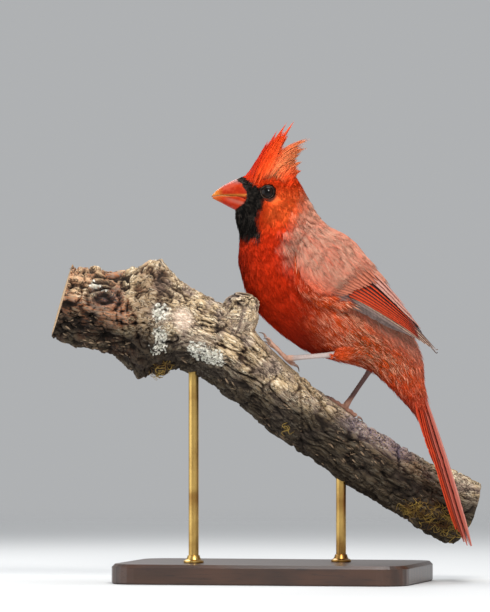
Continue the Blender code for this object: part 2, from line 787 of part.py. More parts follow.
def mirrored(obj, name):
    """A copy of a mesh on the bird's other side."""
    other = bpy.data.objects.new(name, obj.data.copy())
    bpy.context.scene.collection.objects.link(other)
    shape = bmesh.new()
    shape.from_mesh(other.data)
    for v in shape.verts:
        v.co.y = -v.co.y
    bmesh.ops.reverse_faces(shape, faces=shape.faces)
    shape.to_mesh(other.data)
    shape.free()
    return other


def build_wings():
    """Both wings, and the room they need in the torso."""
    core = wing_slab("wing", CORE_STATIONS, core_inner, core_outer)
    left = union([core, *wing_feathers()])
    right = mirrored(left, "wing")
    room = wing_room()
    rooms = [room, mirrored(room, "wing_room")]
    finish(left, "wing_left", "wing_plumage")
    finish(right, "wing_right", "wing_plumage")
    return rooms


# Tail

def tail_feather(side, pair, row):
    """One tail feather. Pairs lie below one another, and each side falls away like a roof."""
    offset, length, depth = row
    root = np.array((TAIL_ROOT[0], 0, TAIL_ROOT[1]))
    reach = np.array((TAIL_TIP[0], 0, TAIL_TIP[1])) - root
    right = np.array((0.0, 1.0, 0.0))
    up = unit(np.cross(right, reach))
    up = up if up[0] > 0 else -up
    drop = 0.0
    if pair == 0 and side > 0:
        depth += 0.82
    if pair == 5 and side > 0:
        drop, length = 0.062, 0.58
    along = unit(unit(reach) + right * side * TAIL_SPLAY * pair - up * drop)
    across = right * math.cos(TAIL_ROOF) - up * side * math.sin(TAIL_ROOF)
    across = unit(across - along * np.dot(across, along))
    normal = unit(np.cross(across, along))
    span = np.linalg.norm(reach) * length
    stations = (0.0, 0.35, 0.88, 1.0)
    centres = [
        root + along * span * t + right * side * offset * min(0.4 + 1.6 * t, 1)
        - up * (depth * min(0.6 + 1.2 * t, 1) - 0.9 * math.sin(math.pi * t * length))
        for t in stations
    ]
    widths = [TAIL_WIDTH * w for w in (0.35, 0.8, 1.0, 0.45)]
    return vane("tail_feather", centres, [across] * 4, [normal] * 4, widths, 0.5)


def tail_coverts():
    """Soft feathers that lap over the roots of the tail, above and below."""
    pick = np.random.default_rng(11)
    made = []
    for above in (True, False):
        for i in range(5):
            angle = math.radians((i - 2) * 26)
            t0, t1 = 13.5, 14.9 + pick.uniform(-0.15, 0.15)
            centres, acrosses, normals = [], [], []
            for t in (0.0, 0.4, 0.75, 1.0):
                station = t0 + (t1 - t0) * t
                top_x, top_z, low_x, low_z, half, _ = spline(BODY, station)
                mid = np.array(((top_x + low_x) / 2, 0, (top_z + low_z) / 2))
                rib = np.array(((top_x - low_x) / 2, 0, (top_z - low_z) / 2)) * (1 if above else -1)
                out = unit(unit(rib) * math.cos(angle) + np.array((0, math.sin(angle), 0)))
                lift = -0.7 + 1.3 * t
                centres.append(mid + rib * math.cos(angle) + np.array((0, half * math.sin(angle), 0)) + out * lift)
                normals.append(out)
            for k in range(4):
                along = unit(centres[min(k + 1, 3)] - centres[max(k - 1, 0)])
                normals[k] = unit(normals[k] - along * np.dot(normals[k], along))
                acrosses.append(np.cross(along, normals[k]))
            made.append(vane("covert", centres, acrosses, normals, [5.6 * w for w in COVERT], 0.5))
    return made


def build_tail():
    stations = [12.8, 13.2, 13.6, 14.0, 14.5, 15.0, 15.5, 16.0]
    root = body_piece(stations, start=TAIL_START)
    feathers = [tail_feather(side, pair, row) for pair, row in enumerate(TAIL_PAIRS) for side in (-1, 1)]
    tail = union([root, *feathers, *tail_coverts()])
    finish(tail, "tail", "plumage")


# Branch

def perch_axis(t):
    """The branch's centre line and radius, t from 0 at the thick end to 1."""
    return spline(PERCH, t * (len(PERCH) - 1))


def bark_relief(p, a, t):
    """How far the bark stands out at a point of the branch: long ridges, and the swellings."""
    ridges = 0.5 * math.sin(5 * a + 9 * t) + 0.35 * math.sin(9 * a - 23 * t + 1.3) + 0.35 * math.sin(31 * t + 2 * a)
    for x, y, z, height, spread in KNOBS:
        near = math.dist((p[0], p[1], p[2]), (x, y, z))
        ridges += height * math.exp(-(near / spread / 2.2) ** 2)
    return ridges


def perch_rings():
    rings = []
    for i in range(PERCH_RINGS):
        t = i / (PERCH_RINGS - 1)
        here = perch_axis(t)
        along = unit(perch_axis(min(t + 0.01, 1))[:3] - perch_axis(max(t - 0.01, 0))[:3])
        across = unit(np.cross(along, (0, 0, 1)))
        up = np.cross(across, along)
        ring = []
        for k in range(PERCH_SIDES):
            a = 2 * math.pi * k / PERCH_SIDES
            out = across * math.cos(a) + up * math.sin(a)
            rim = here[:3] + out * here[3]
            ring.append(rim + out * bark_relief(rim, a, t))
        rings.append(ring)
    return rings


def perch_stub():
    """The broken side shoot beside the bird's breast, dished at its end."""
    path = ((-19.0, -19.5, 117.0), (-15.6, -21.0, 126.0), (-12.0, -22.4, 134.0), (-10.0, -23.4, 140.5), (-9.4, -23.8, 143.4))
    radii = (11.0, 10.4, 9.6, 9.0, 6.8)
    return tube("stub", path, radii, 14, end=(-11.0, -23.2, 140.5))


def build_perch(rods):
    """The branch, and a search tree of its surface for the toes."""
    branch = union([loft("perch", perch_rings()), perch_stub()])
    tree = tree_of(branch)
    cut(branch, rods)
    finish(branch, "perch", "bark", sharp=math.radians(60))
    return tree


# Legs

def nearest_axis_point(p):
    return min((perch_axis(i / 240)[:3] for i in range(241)), key=lambda q: np.linalg.norm(q - p))


def on_perch(tree, p, lift):
    """The point at the given lift over the branch's surface nearest to p, and the way out from it."""
    foot, _, _, _ = tree.find_nearest(Vector(p))
    foot = np.array(foot)
    out = unit(foot - nearest_axis_point(foot))
    return foot + out * lift, out


def toe_path(tree, start, heading, length, radius):
    """A line that starts above the branch and keeps its heading along the surface."""
    here = np.array(start)
    heading = unit(heading)
    path = []
    for k in range(TOE_STEPS + 1):
        knuckle = 0.35 * abs(math.sin(math.pi * (k + 0.4) / 2.2))
        centre, out = on_perch(tree, here, radius + GAP + 0.1 + knuckle)
        path.append(centre)
        heading = unit(heading - out * np.dot(heading, out))
        here = centre + heading * length / TOE_STEPS
    return path, out, heading


def claw(name, tree, base, out, heading, radius):
    """A curved claw that starts a gap beyond the toe and arches down to the bark."""
    first = base + heading * (GAP + 0.45)
    tip, _ = on_perch(tree, first + heading * CLAW_LENGTH, GAP + 0.25)
    path, radii = [], []
    for k in range(5):
        t = k / 4
        path.append(first + (tip - first) * t + out * 0.9 * math.sin(math.pi * t))
        radii.append(radius * 0.85 * (1 - 0.85 * t))
    return finish(tube(name, path, radii, 6), name, "claw")


def build_leg(tree, word, leg):
    """Shank, foot and claws of one leg."""
    base, out = foot_base(tree, leg)
    middle = np.array(leg["toes"], float)
    middle = unit(middle - out * np.dot(middle, out))
    pieces = [ball("foot", base, 1.75, 10, 6)]
    for toe, turn, length, thick in TOES:
        radius = TOE_RADIUS * thick
        heading = turned(middle, out, math.radians(turn) * -leg["side"])
        path, out_there, last = toe_path(tree, base + heading * 0.6, heading, length, radius)
        taper = [radius * (1.05 - 0.22 * k / TOE_STEPS) for k in range(TOE_STEPS + 1)]
        pieces.append(tube("toe", path, taper, 7))
        claw(f"claw_{word}_{toe}", tree, path[-1], out_there, last, radius)
    foot = union(pieces)
    finish(foot, "foot_" + word, "leg_skin")
    finish(shank(tree, leg), "shank_" + word, "leg_skin")
    finish(cut(thigh(leg), [shank(tree, leg, GAP)]), "thigh_" + word, "plumage")


def foot_base(tree, leg):
    return on_perch(tree, leg["foot"], TOE_RADIUS + GAP + 1.0)


def shank(tree, leg, grow=0.0):
    """The scaled lower leg. Its upper end is seated inside the thigh's feathers."""
    base, _ = foot_base(tree, leg)
    heel = np.array(leg["heel"], float)
    down = unit(base - heel)
    low = base - down * (1.75 + GAP + 0.1)
    places = [heel + (low - heel) * t for t in (0.0, 0.1, 0.5, 0.9, 1.0)]
    places[0] = places[0] - down * grow
    places[-1] = places[-1] + down * grow
    thicks = [TARSUS_RADIUS * share + grow for share in (1.1, 1.1, 0.92, 1.05, 1.15)]
    return tube("shank", places, thicks, 10)


def thigh(leg, grow=0.0):
    """The feathered upper leg, which closes round the top of the shank."""
    rows = [np.array(r, float) for r in leg["thigh"]]
    path = [r[:3] for r in rows]
    radii = [r[3] + grow for r in rows]
    lead = unit(path[-1] - path[-2])
    path += [path[-1] + lead * 1.6, path[-1] + lead * (2.9 + grow)]
    radii += [rows[-1][3] * 0.86 + grow, rows[-1][3] * 0.5 + grow]
    path[0] = path[0] - unit(path[1] - path[0]) * 2 * grow
    return tube("thigh", path, radii, 12)


# Stand

def rounded_board(name, size, corner, bevel, centre):
    """A flat board with round corners and a bevelled edge."""
    length, width, height = size

    def outline(inset, z):
        ring = []
        for cx, cy, first in ((1, 1, 0), (-1, 1, 90), (-1, -1, 180), (1, -1, 270)):
            for k in range(7):
                a = math.radians(first + 15 * k)
                ring.append((
                    centre[0] + cx * (length / 2 - corner) + (corner - inset) * math.cos(a),
                    centre[1] + cy * (width / 2 - corner) + (corner - inset) * math.sin(a), z))
        return ring

    levels = ((bevel * 0.5, 0.0), (0.0, bevel * 0.5), (0.0, height - bevel), (bevel, height))
    return loft(name, [outline(inset, z) for inset, z in levels])


def rod_lines():
    """Foot and head of each rod, both upright and below the branch's centre line."""
    lines = {}
    for word, t in (("tall", 0.33), ("short", 0.72)):
        x, y, z, radius = perch_axis(t)
        lines[word] = (x, y, BASE_SIZE[2] - ROD_SINK, z - radius + ROD_SINK)
    return lines


def rod(line, grow=0.0):
    x, y, low, high = line
    path = [(x, y, low - grow), (x, y, high + grow)]
    return tube("rod", path, [ROD_RADIUS + grow] * 2, 16)


def build_stand(lines):
    board = rounded_board("board", BASE_SIZE, BASE_CORNER, BASE_BEVEL, BASE_CENTRE)
    cut(board, [rod(line, GAP) for line in lines.values()])
    finish(board, "stand_base", "stand_wood")
    for word, line in lines.items():
        finish(rod(line), "stand_rod_" + word, "stand_brass")


def settle_origin():
    """Moves every node so that the origin is under the middle of the whole, on the floor."""
    nodes = [o for o in bpy.data.objects if o.type == "MESH"]
    corners = np.array([v.co for o in nodes for v in o.data.vertices])
    middle = (corners.min(axis=0) + corners.max(axis=0)) / 2
    shift = Vector((-middle[0], -middle[1], -corners.min(axis=0)[2]))
    for node in nodes:
        node.data.transform(Matrix.Translation(shift))


clear_scene()
lines = rod_lines()
surface = build_perch([rod(line, GAP) for line in lines.values()])
build_stand(lines)
rooms = build_wings()
for leg in LEGS.values():
    rooms += [thigh(leg, GAP + 0.1), shank(surface, leg, GAP + 0.3)]
build_torso(rooms)
build_head()
build_neck()
build_tail()
for word, leg in LEGS.items():
    build_leg(surface, word, leg)
settle_origin()
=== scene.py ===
import math

import bmesh
import bpy
import numpy as np
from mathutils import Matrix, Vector
from mathutils.bvhtree import BVHTree


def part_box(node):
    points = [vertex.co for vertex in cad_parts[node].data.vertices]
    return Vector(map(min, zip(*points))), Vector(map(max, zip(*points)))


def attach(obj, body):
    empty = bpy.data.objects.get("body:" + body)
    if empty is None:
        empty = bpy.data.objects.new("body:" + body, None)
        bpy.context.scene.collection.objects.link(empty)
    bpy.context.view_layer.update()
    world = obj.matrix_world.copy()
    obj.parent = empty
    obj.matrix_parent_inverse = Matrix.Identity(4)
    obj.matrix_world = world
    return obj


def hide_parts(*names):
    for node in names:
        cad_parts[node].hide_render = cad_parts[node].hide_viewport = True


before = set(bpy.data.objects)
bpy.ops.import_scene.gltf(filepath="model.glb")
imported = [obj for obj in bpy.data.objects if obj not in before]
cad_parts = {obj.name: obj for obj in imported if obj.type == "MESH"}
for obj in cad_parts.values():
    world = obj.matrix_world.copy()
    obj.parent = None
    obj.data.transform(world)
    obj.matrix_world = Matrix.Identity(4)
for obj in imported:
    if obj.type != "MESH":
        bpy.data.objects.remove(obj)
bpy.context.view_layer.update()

# Sizes are in millimetres in the bird's own frame: it faces -X, its left side is -Y.
# The frame's origin lies under the middle of the whole, so the board tells how far the two are apart.
boardLow, boardHigh = (np.array(corner) * 1000 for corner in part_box("stand_base"))
boardMiddle = np.array((1.0, -2.0, 0.0))  # the board's middle in the bird's own frame
shift = np.array(((boardLow + boardHigh)[0] / 2, (boardLow + boardHigh)[1] / 2, 0)) - boardMiddle


def toWorld(points):
    return (np.asarray(points, float) + shift) / 1000


def fromWorld(points):
    return np.asarray(points, float) * 1000 - shift


# Small tools

def curveThrough(rows, t):
    # the smooth curve through the rows, where t counts rows from 0
    rows, t = np.asarray(rows, float), np.asarray(t, float)
    last = len(rows) - 1
    i = np.clip(t.astype(int), 0, last - 1)
    f = (t - i)[..., None]
    before, here = rows[np.maximum(i - 1, 0)], rows[i]
    there, after = rows[i + 1], rows[np.minimum(i + 2, last)]
    bend = (2 * before - 5 * here + 4 * there - after) * f * f
    return 0.5 * (2 * here + (there - before) * f + bend + (3 * here - before - 3 * there + after) * f ** 3)


def smooth(x):
    x = np.clip(x, 0, 1)
    return x * x * (3 - 2 * x)


def unit(v):
    v = np.asarray(v, float)
    return v / np.maximum(np.linalg.norm(v, axis=-1, keepdims=True), 1e-9)


def rgb(*parts):
    # a screen colour as the shader's light values
    return *(c / 255 / 12.92 if c < 10.3 else ((c / 255 + 0.055) / 1.055) ** 2.4 for c in parts), 1


def circle(sides):
    return np.linspace(0, 2 * math.pi, sides, endpoint=False)


def link(name, data):
    # a new object in the scene
    piece = bpy.data.objects.new(name, data)
    bpy.context.scene.collection.objects.link(piece)
    return piece


def newMesh(name, points, faces, material=None):
    # points in the bird's frame; all faces have the same number of corners
    faces = np.ascontiguousarray(faces, np.int32)
    mesh = bpy.data.meshes.new(name)
    mesh.vertices.add(len(points))
    mesh.vertices.foreach_set("co", np.ascontiguousarray(toWorld(points), np.float32).ravel())
    mesh.loops.add(faces.size)
    mesh.loops.foreach_set("vertex_index", faces.ravel())
    mesh.polygons.add(len(faces))
    mesh.polygons.foreach_set("loop_start", np.arange(0, faces.size, faces.shape[1], dtype=np.int32))
    mesh.update(calc_edges=True)
    mesh.polygons.foreach_set("use_smooth", np.ones(len(faces), bool))
    if material:
        mesh.materials.append(material)
    return link(name, mesh)


def setAttributes(piece, **given):
    # a number or a vector for each vertex
    for name, values in given.items():
        values = np.asarray(values, np.float32)
        kind, key = ("FLOAT_VECTOR", "vector") if values.ndim == 2 else ("FLOAT", "value")
        layer = piece.data.attributes.new(name, kind, "POINT")
        layer.data.foreach_set(key, values.ravel())


def setMap(piece, name, spots):
    # spots are one pair for each vertex
    corners = np.empty(len(piece.data.loops), np.int32)
    piece.data.loops.foreach_get("vertex_index", corners)
    layer = piece.data.uv_layers.new(name=name)
    layer.data.foreach_set("uv", np.asarray(spots, np.float32)[corners].ravel())


def gridFaces(rows, columns, loops):
    # the quads of a grid of points; loops joins its last column to its first
    i, j = np.meshgrid(np.arange(rows - 1), np.arange(columns if loops else columns - 1), indexing="ij")
    k = (j + 1) % columns
    corners = (i * columns + j, (i + 1) * columns + j, (i + 1) * columns + k, i * columns + k)
    return np.stack(corners, -1).reshape(-1, 4)


def halves(quads):
    # two triangles for each quad
    return np.concatenate((quads[:, (0, 1, 2)], quads[:, (0, 2, 3)]))


def closedTube(rings, start=None, end=None):
    # points and triangles of a skin over rings of points, with a point or a flat lid at each end
    rings = np.asarray(rings, float)
    rows, columns = rings.shape[:2]
    points = list(rings.reshape(-1, 3))
    faces = list(halves(gridFaces(rows, columns, True)))
    for row, pole, order in ((0, start, 1), (rows - 1, end, -1)):
        pole = rings[row].mean(0) if pole is None else np.asarray(pole, float)
        points.append(pole)
        hub = len(points) - 1
        for k in range(columns):
            faces.append((hub, row * columns + k, row * columns + (k + 1) % columns)[::order])
    return np.array(points), np.array(faces)


def sweep(path, radii, sides):
    # rings of points round a path
    path = np.asarray(path, float)
    along = unit(np.gradient(path, axis=0))
    across = unit(np.cross(along, (0, 0, 1)))
    over = np.cross(across, along)
    turn = circle(sides)[:, None]
    ring = across[:, None] * np.cos(turn) + over[:, None] * np.sin(turn)
    return path[:, None] + ring * np.broadcast_to(radii, len(path))[:, None, None]


def tidyFaces(piece, closes=False):
    # turns the faces outwards; closes first joins the two rims of a ring of profiles
    shape = bmesh.new()
    shape.from_mesh(piece.data)
    if closes:
        bmesh.ops.bridge_loops(shape, edges=[e for e in shape.edges if e.is_boundary])
        bmesh.ops.triangulate(shape, faces=shape.faces)
    bmesh.ops.recalc_face_normals(shape, faces=shape.faces)
    shape.to_mesh(piece.data)
    shape.free()
    piece.data.shade_smooth()


def evaluated(name, source):
    # the mesh that a source's modifiers make, as a piece of its own
    mesh = bpy.data.meshes.new_from_object(source.evaluated_get(bpy.context.evaluated_depsgraph_get()))
    mesh.name = name
    mesh.shade_smooth()
    print(name, len(mesh.polygons), "faces")
    return link(name, mesh)


def searchTree(places):
    # a search tree over a grid of points, and the grid's faces
    faces = gridFaces(*places.shape[:2], False)
    corners = [Vector(p) for p in places.reshape(-1, 3)]
    return BVHTree.FromPolygons(corners, [tuple(face) for face in faces.tolist()]), faces


# The head looks a little to the bird's left

head = {"turn": math.radians(11), "axisX": 6.5, "low": 168.0, "high": 190.0}


def turnHead(points, back=False):
    points = np.array(points, float)
    share = smooth((points[..., 2] - head["low"]) / (head["high"] - head["low"]))
    angle = head["turn"] * share * (-1 if back else 1)
    x, y = points[..., 0] - head["axisX"], points[..., 1].copy()
    points[..., 0] = head["axisX"] + x * np.cos(angle) - y * np.sin(angle)
    points[..., 1] = x * np.sin(angle) + y * np.cos(angle)
    return points


# Camera and light

view = {"azimuth": math.radians(12), "across": -13.5, "height": 138.0, "tall": 306.0, "distance": 3500.0}


def setCamera():
    turn = view["azimuth"]
    right = np.array((math.cos(turn), math.sin(turn), 0))
    back = np.array((math.sin(turn), -math.cos(turn), 0))
    aim = right * view["across"] + np.array((0, 0, view["height"]))
    lens = bpy.data.cameras.new("camera")
    lens.sensor_fit = "VERTICAL"
    lens.lens = lens.sensor_height * view["distance"] / view["tall"]
    lens.clip_end = 20
    camera = link("camera", lens)
    camera.location = toWorld(aim + back * view["distance"])
    camera.rotation_euler = (math.pi / 2, 0, turn)
    bpy.context.scene.camera = camera
    bpy.context.scene.view_settings.view_transform = "Standard"


lampsAim = (0, 0, 150)
lamps = (
    # name, place, size, watts, colour
    ("key", (230, -560, 560), 220, 4.2, (1.0, 0.97, 0.92)),
    ("fill", (-760, -330, 200), 900, 3.0, (0.92, 0.96, 1.0)),
    ("sky", (60, -40, 800), 500, 2.8, (0.95, 0.98, 1.0)),
    ("rim", (-260, 420, 460), 300, 1.4, (1.0, 0.98, 0.95)),
)


def setLight():
    for name, place, size, watts, colour in lamps:
        lamp = bpy.data.lights.new(name, "AREA")
        lamp.shape = "DISK"
        lamp.size = size / 1000
        lamp.energy = watts
        lamp.color = colour
        spot = link(name, lamp)
        spot.location = toWorld(place)
        spot.rotation_euler = Vector(np.subtract(lampsAim, place)).to_track_quat("-Z", "Y").to_euler()
    world = bpy.data.worlds.new("studio")
    world.use_nodes = True
    sockets = world.node_tree.nodes["Background"].inputs
    sockets["Color"].default_value = (0.86, 0.88, 0.9, 1)
    sockets["Strength"].default_value = 0.5
    bpy.context.scene.world = world


# Materials

def joined(operation, reflected=False):
    # a method that joins a wire and another value by one of the shader's sums
    def work(self, other):
        return self.math(operation, *((other, self) if reflected else (self, other)))
    return work


class Wire:
    # a value or colour on its way through a material, which Python's operators work on
    def __init__(self, paint, socket):
        self.paint, self.socket = paint, socket

    def math(self, operation, *values):
        return self.paint.add("ShaderNodeMath", {"operation": operation}, dict(enumerate(values)))

    __add__ = __radd__ = joined("ADD")
    __mul__ = __rmul__ = joined("MULTIPLY")
    __sub__, __rsub__ = joined("SUBTRACT"), joined("SUBTRACT", True)
    __truediv__, __rtruediv__ = joined("DIVIDE"), joined("DIVIDE", True)
    __pow__ = joined("POWER")
    least, most = joined("MINIMUM"), joined("MAXIMUM")

    def __abs__(self):
        return self.math("ABSOLUTE", self)

    def sine(self):
        return self.math("SINE", self)

    def rise(self, low, high):
        # 0 below low, 1 over high, smooth between
        settings = {"interpolation_type": "SMOOTHSTEP"}
        return self.paint.add("ShaderNodeMapRange", settings, {0: self, 1: low, 2: high, 3: 0.0, 4: 1.0})


class Paint:
    # the nodes of one material
    def __init__(self, name):
        self.material = bpy.data.materials.new(name)
        self.material.use_nodes = True
        self.tree = self.material.node_tree
        self.shader = self.tree.nodes["Principled BSDF"]

    def add(self, kind, settings, inputs, output=0):
        node = self.tree.nodes.new(kind)
        for key, value in settings.items():
            if key == "stops":
                while len(node.color_ramp.elements) < len(value):
                    node.color_ramp.elements.new(1.0)
                for stop, (spot, colour) in zip(node.color_ramp.elements, value):
                    stop.position, stop.color = spot, colour
            else:
                setattr(node, key, value)
        for key, value in inputs.items():
            if isinstance(value, Wire):
                self.tree.links.new(value.socket, node.inputs[key])
            else:
                node.inputs[key].default_value = value
        return Wire(self, node.outputs[output])

    def attribute(self, name, output="Fac"):
        return self.add("ShaderNodeAttribute", {"attribute_name": name}, {}, output)

    def split(self, vector, count=3):
        return [self.add("ShaderNodeSeparateXYZ", {}, {0: vector}, axis) for axis in range(count)]

    def place(self):
        # where a feather or a spot is, as a vector and as its three coordinates
        vector = self.attribute("place", "Vector")
        return vector, self.split(vector)

    def objectPlace(self):
        vector = self.add("ShaderNodeTexCoord", {}, {}, "Object")
        return vector, self.split(vector)

    def map(self, name):
        # across and along of a vane
        return self.split(self.add("ShaderNodeUVMap", {"uv_map": name}, {}), 2)

    def stretch(self, vector, scale, turn=(0, 0, 0)):
        return self.add("ShaderNodeMapping", {}, {0: vector, "Rotation": turn, "Scale": scale})

    def noise(self, vector, scale, detail=2.0, rough=0.5):
        sizes = {"Vector": vector, "Scale": scale, "Detail": detail, "Roughness": rough}
        return self.add("ShaderNodeTexNoise", {}, sizes)

    def mix(self, share, first, second, kind="MIX"):
        settings = {"data_type": "RGBA", "blend_type": kind}
        return self.add("ShaderNodeMix", settings, {0: share, 6: first, 7: second}, 2)

    def layers(self, colour, *rows):
        # lays hues over a colour, each by its own share
        for share, hue in rows:
            colour = self.mix(share, colour, hue)
        return colour

    def shade(self, colour, factor):
        # a colour made darker or lighter by a value
        return self.mix(1.0, colour, factor, "MULTIPLY")

    def bump(self, height, distance, strength):
        sizes = {"Height": height, "Distance": distance / 1000, "Strength": strength}
        return self.add("ShaderNodeBump", {}, sizes)

    def finish(self, colour, shine=0.5, **sockets):
        for key, value in dict(sockets, Base_Color=colour, Specular_IOR_Level=shine).items():
            name = key.replace("_", " ")
            socket = next(s for s in self.shader.inputs if s.name.lower() == name.lower())
            if isinstance(value, Wire):
                self.tree.links.new(value.socket, socket)
            else:
                socket.default_value = value
        return self.material


# paintedShade is a deep red for painted shade on the breast's front, the belly and under the tail
plumage = {
    "crimson": rgb(188, 34, 14), "scarlet": rgb(226, 62, 12), "orange": rgb(252, 100, 34),
    "paintedShade": rgb(120, 22, 6), "breast": rgb(204, 48, 8), "flame": rgb(255, 110, 48),
    "taupe": rgb(196, 158, 136), "rose": rgb(206, 98, 70), "pale": rgb(232, 190, 158),
    "tan": rgb(238, 160, 106), "olive": rgb(104, 72, 40), "black": rgb(13, 12, 11),
    "soot": rgb(84, 76, 70), "down": rgb(120, 84, 72),
}


def markingsAndShade(paint, place, chance, strand):
    # the bird's colours by place, with painted shade on the breast, belly and under the tail and painted
    # light on the cheek and the thigh; place is where a feather shows, before the head is turned
    vector, (x, y, z) = place
    side = abs(y)
    wander = (paint.noise(vector, 0.35, 3.0) - 0.5) * 2
    streak = paint.noise(paint.stretch(vector, (0.12, 0.5, 0.25), (0, 0.7, 0)), 1.6, 2.0)
    fine = paint.noise(vector, 1.3, 2.0)

    # head and neck, from the crown's crimson edge to the orange cheek and the tan rear of the crest; the
    # cheek's flame orange is partly its own colour and partly painted light
    front = 1 - (x + (z - 202) * -0.55).rise(-15, -6)
    cheek = (1 - abs(z - 186).rise(3, 14)) * x.rise(-6, 2)
    glow = z.rise(198, 204) * (x - (z - 205) * 0.5).rise(-10, -4) * strand.rise(0.35, 0.6)
    crown = z.rise(200, 208) * (x - (z - 205) * 0.5).rise(-4, 7)
    # breast and belly; the front of the breast and the belly below are painted darker as painted shade, so
    # the sides are brightest
    breast = 1 - z.rise(166, 182)
    fore = (1 - x.rise(-15, -2)) * (1 - z.rise(158, 176))
    low = (1 - (z - x * 0.3 - 4).rise(106, 140)) * (1 - x.rise(48, 66))
    # grey and rose over the nape, the mantle and the back
    edge = x - (z - 162) * 0.24 - 6.0 - wander * 2.6 + (fine - 0.5) * 3.0 + (chance - 0.5) * 3.0
    under = (z + x * 0.75 - 158 - side * 0.2).rise(-2, 14)
    rosy = streak.rise(0.42, 0.62) * 0.3 + strand.rise(0.45, 0.62) * 0.4
    # orange, pale and olive wisps along the flank, towards the tail
    flank = x.rise(14, 40) * (1 - under) * (z - 152 + x * 0.6).rise(-26, -2)
    rear = x.rise(38, 52) * (1 - under) * (z - 92).rise(0, 22)
    # painted shade under the tail
    below = x.rise(42, 50) * (1 - (z + x * 0.92 - 150.7).rise(2, 10))
    # the near thigh's ball of feathers: orange, partly its own colour and partly painted light
    ball = x.rise(34, 36) * (1 - x.rise(42, 46)) * (1 - y.rise(-14, -11))
    ball = ball * (1 - z.rise(117, 120))
    tailward = (x - z * 0.1).rise(56, 66)
    colour = paint.layers(
        paint.mix(front * z.rise(199, 206), plumage["scarlet"], plumage["crimson"]),
        (cheek, plumage["flame"]),
        (glow * 0.6, plumage["flame"]),
        (crown * (strand.rise(0.3, 0.6) * 0.35 + 0.5), plumage["tan"]),
        (breast, plumage["breast"]),
        (fore * 0.75, plumage["paintedShade"]),
        (low * 0.8, plumage["paintedShade"]),
        (edge.rise(-1, 7) * under * 0.9, paint.mix(rosy, plumage["taupe"], plumage["rose"])),
        (flank * strand.rise(0.3, 0.5) * 0.85, plumage["orange"]),
        (flank * (strand * 0.8 + chance * 0.2).rise(0.51, 0.6) * 0.8, plumage["pale"]),
        (rear * (1 - strand.rise(0.42, 0.52)) * 0.8, plumage["olive"]),
        (below * 0.7, plumage["paintedShade"]),
        (ball * (strand.rise(0.4, 0.6) * 0.6 + 0.15), plumage["orange"]),
        (tailward * strand.rise(0.35, 0.6) * 0.7, plumage["rose"]))

    # the black mask: lores, chin and bib
    line = paint.add("ShaderNodeValToRGB", {"stops": maskStops}, {0: (z - 168) / 36})
    line = paint.add("ShaderNodeSeparateColor", {}, {0: line})
    bound = line * 20 - 22
    ragged = wander * 0.9 + (chance - 0.5) * 1.6
    mask = (bound - x + ragged).rise(-0.5, 0.7) * (z + ragged * 0.6).rise(169.4, 170.8)
    mask = mask * (1 - (z + (x + 15.9) * 0.42 + ragged * 0.3).rise(202.6, 203.8))
    ring = 1 - ((x + 2.2) * (x + 2.2) + (z - 194.3) * (z - 194.3)).rise(17, 30)
    ring = ring * (1 - (z - x * 0.5).rise(194, 197)) * side.rise(3, 5)
    dark = paint.mix(chance.rise(0.3, 0.9) * strand.rise(0.42, 0.6), plumage["black"], plumage["soot"])
    return paint.mix(mask.most(ring * 0.9), colour, dark), mask


# where the mask ends behind, as x by height: 0 is 22 mm before the origin, 1 is 2 mm before it
maskEdge = (
    (0.0, 0.93), (0.1, 0.98), (0.25, 0.84), (0.38, 0.83), (0.52, 0.92), (0.62, 0.93), (0.8, 0.86),
    (0.95, 0.4))
maskStops = [(spot, (value, value, value, 1)) for spot, value in maskEdge]


def makePlumage(name):
    paint = Paint(name)
    place = paint.place()
    chance = paint.attribute("chance")
    across, along = paint.map("vane")
    barb = paint.add("ShaderNodeCombineXYZ", {}, {0: across * 11, 1: chance * 37})
    strand = paint.noise(barb, 1.0, 1.0)
    colour, mask = markingsAndShade(paint, place, chance, strand)
    # each feather is greyish down at its root and brightest near its tip
    root = 1 - along.rise(0.1, 0.45)
    colour = paint.mix(root * 0.2 * (1 - mask), colour, plumage["down"])
    colour = paint.shade(colour, chance * 0.24 + strand * 0.95 + 0.4 + along * 0.14)
    normal = paint.bump((across * 150 + along * 30).sine(), 0.06, 0.4)
    return paint.finish(colour, Roughness=0.7, Normal=normal, shine=0.12)


def makeSkinMaterial():
    paint = Paint("bird_skin")
    place = paint.place()
    colour = markingsAndShade(paint, place, paint.noise(place[0], 2.0, 1.0), paint.noise(place[0], 3.0, 1.0))[0]
    colour = paint.shade(colour, 0.55 + paint.noise(place[0], 3.0, 3.0) * 0.4)
    normal = paint.bump(paint.noise(place[0], 2.5, 4.0), 0.3, 0.6)
    return paint.finish(colour, Roughness=0.8, Normal=normal, shine=0.2)


# Surfaces that feathers grow on

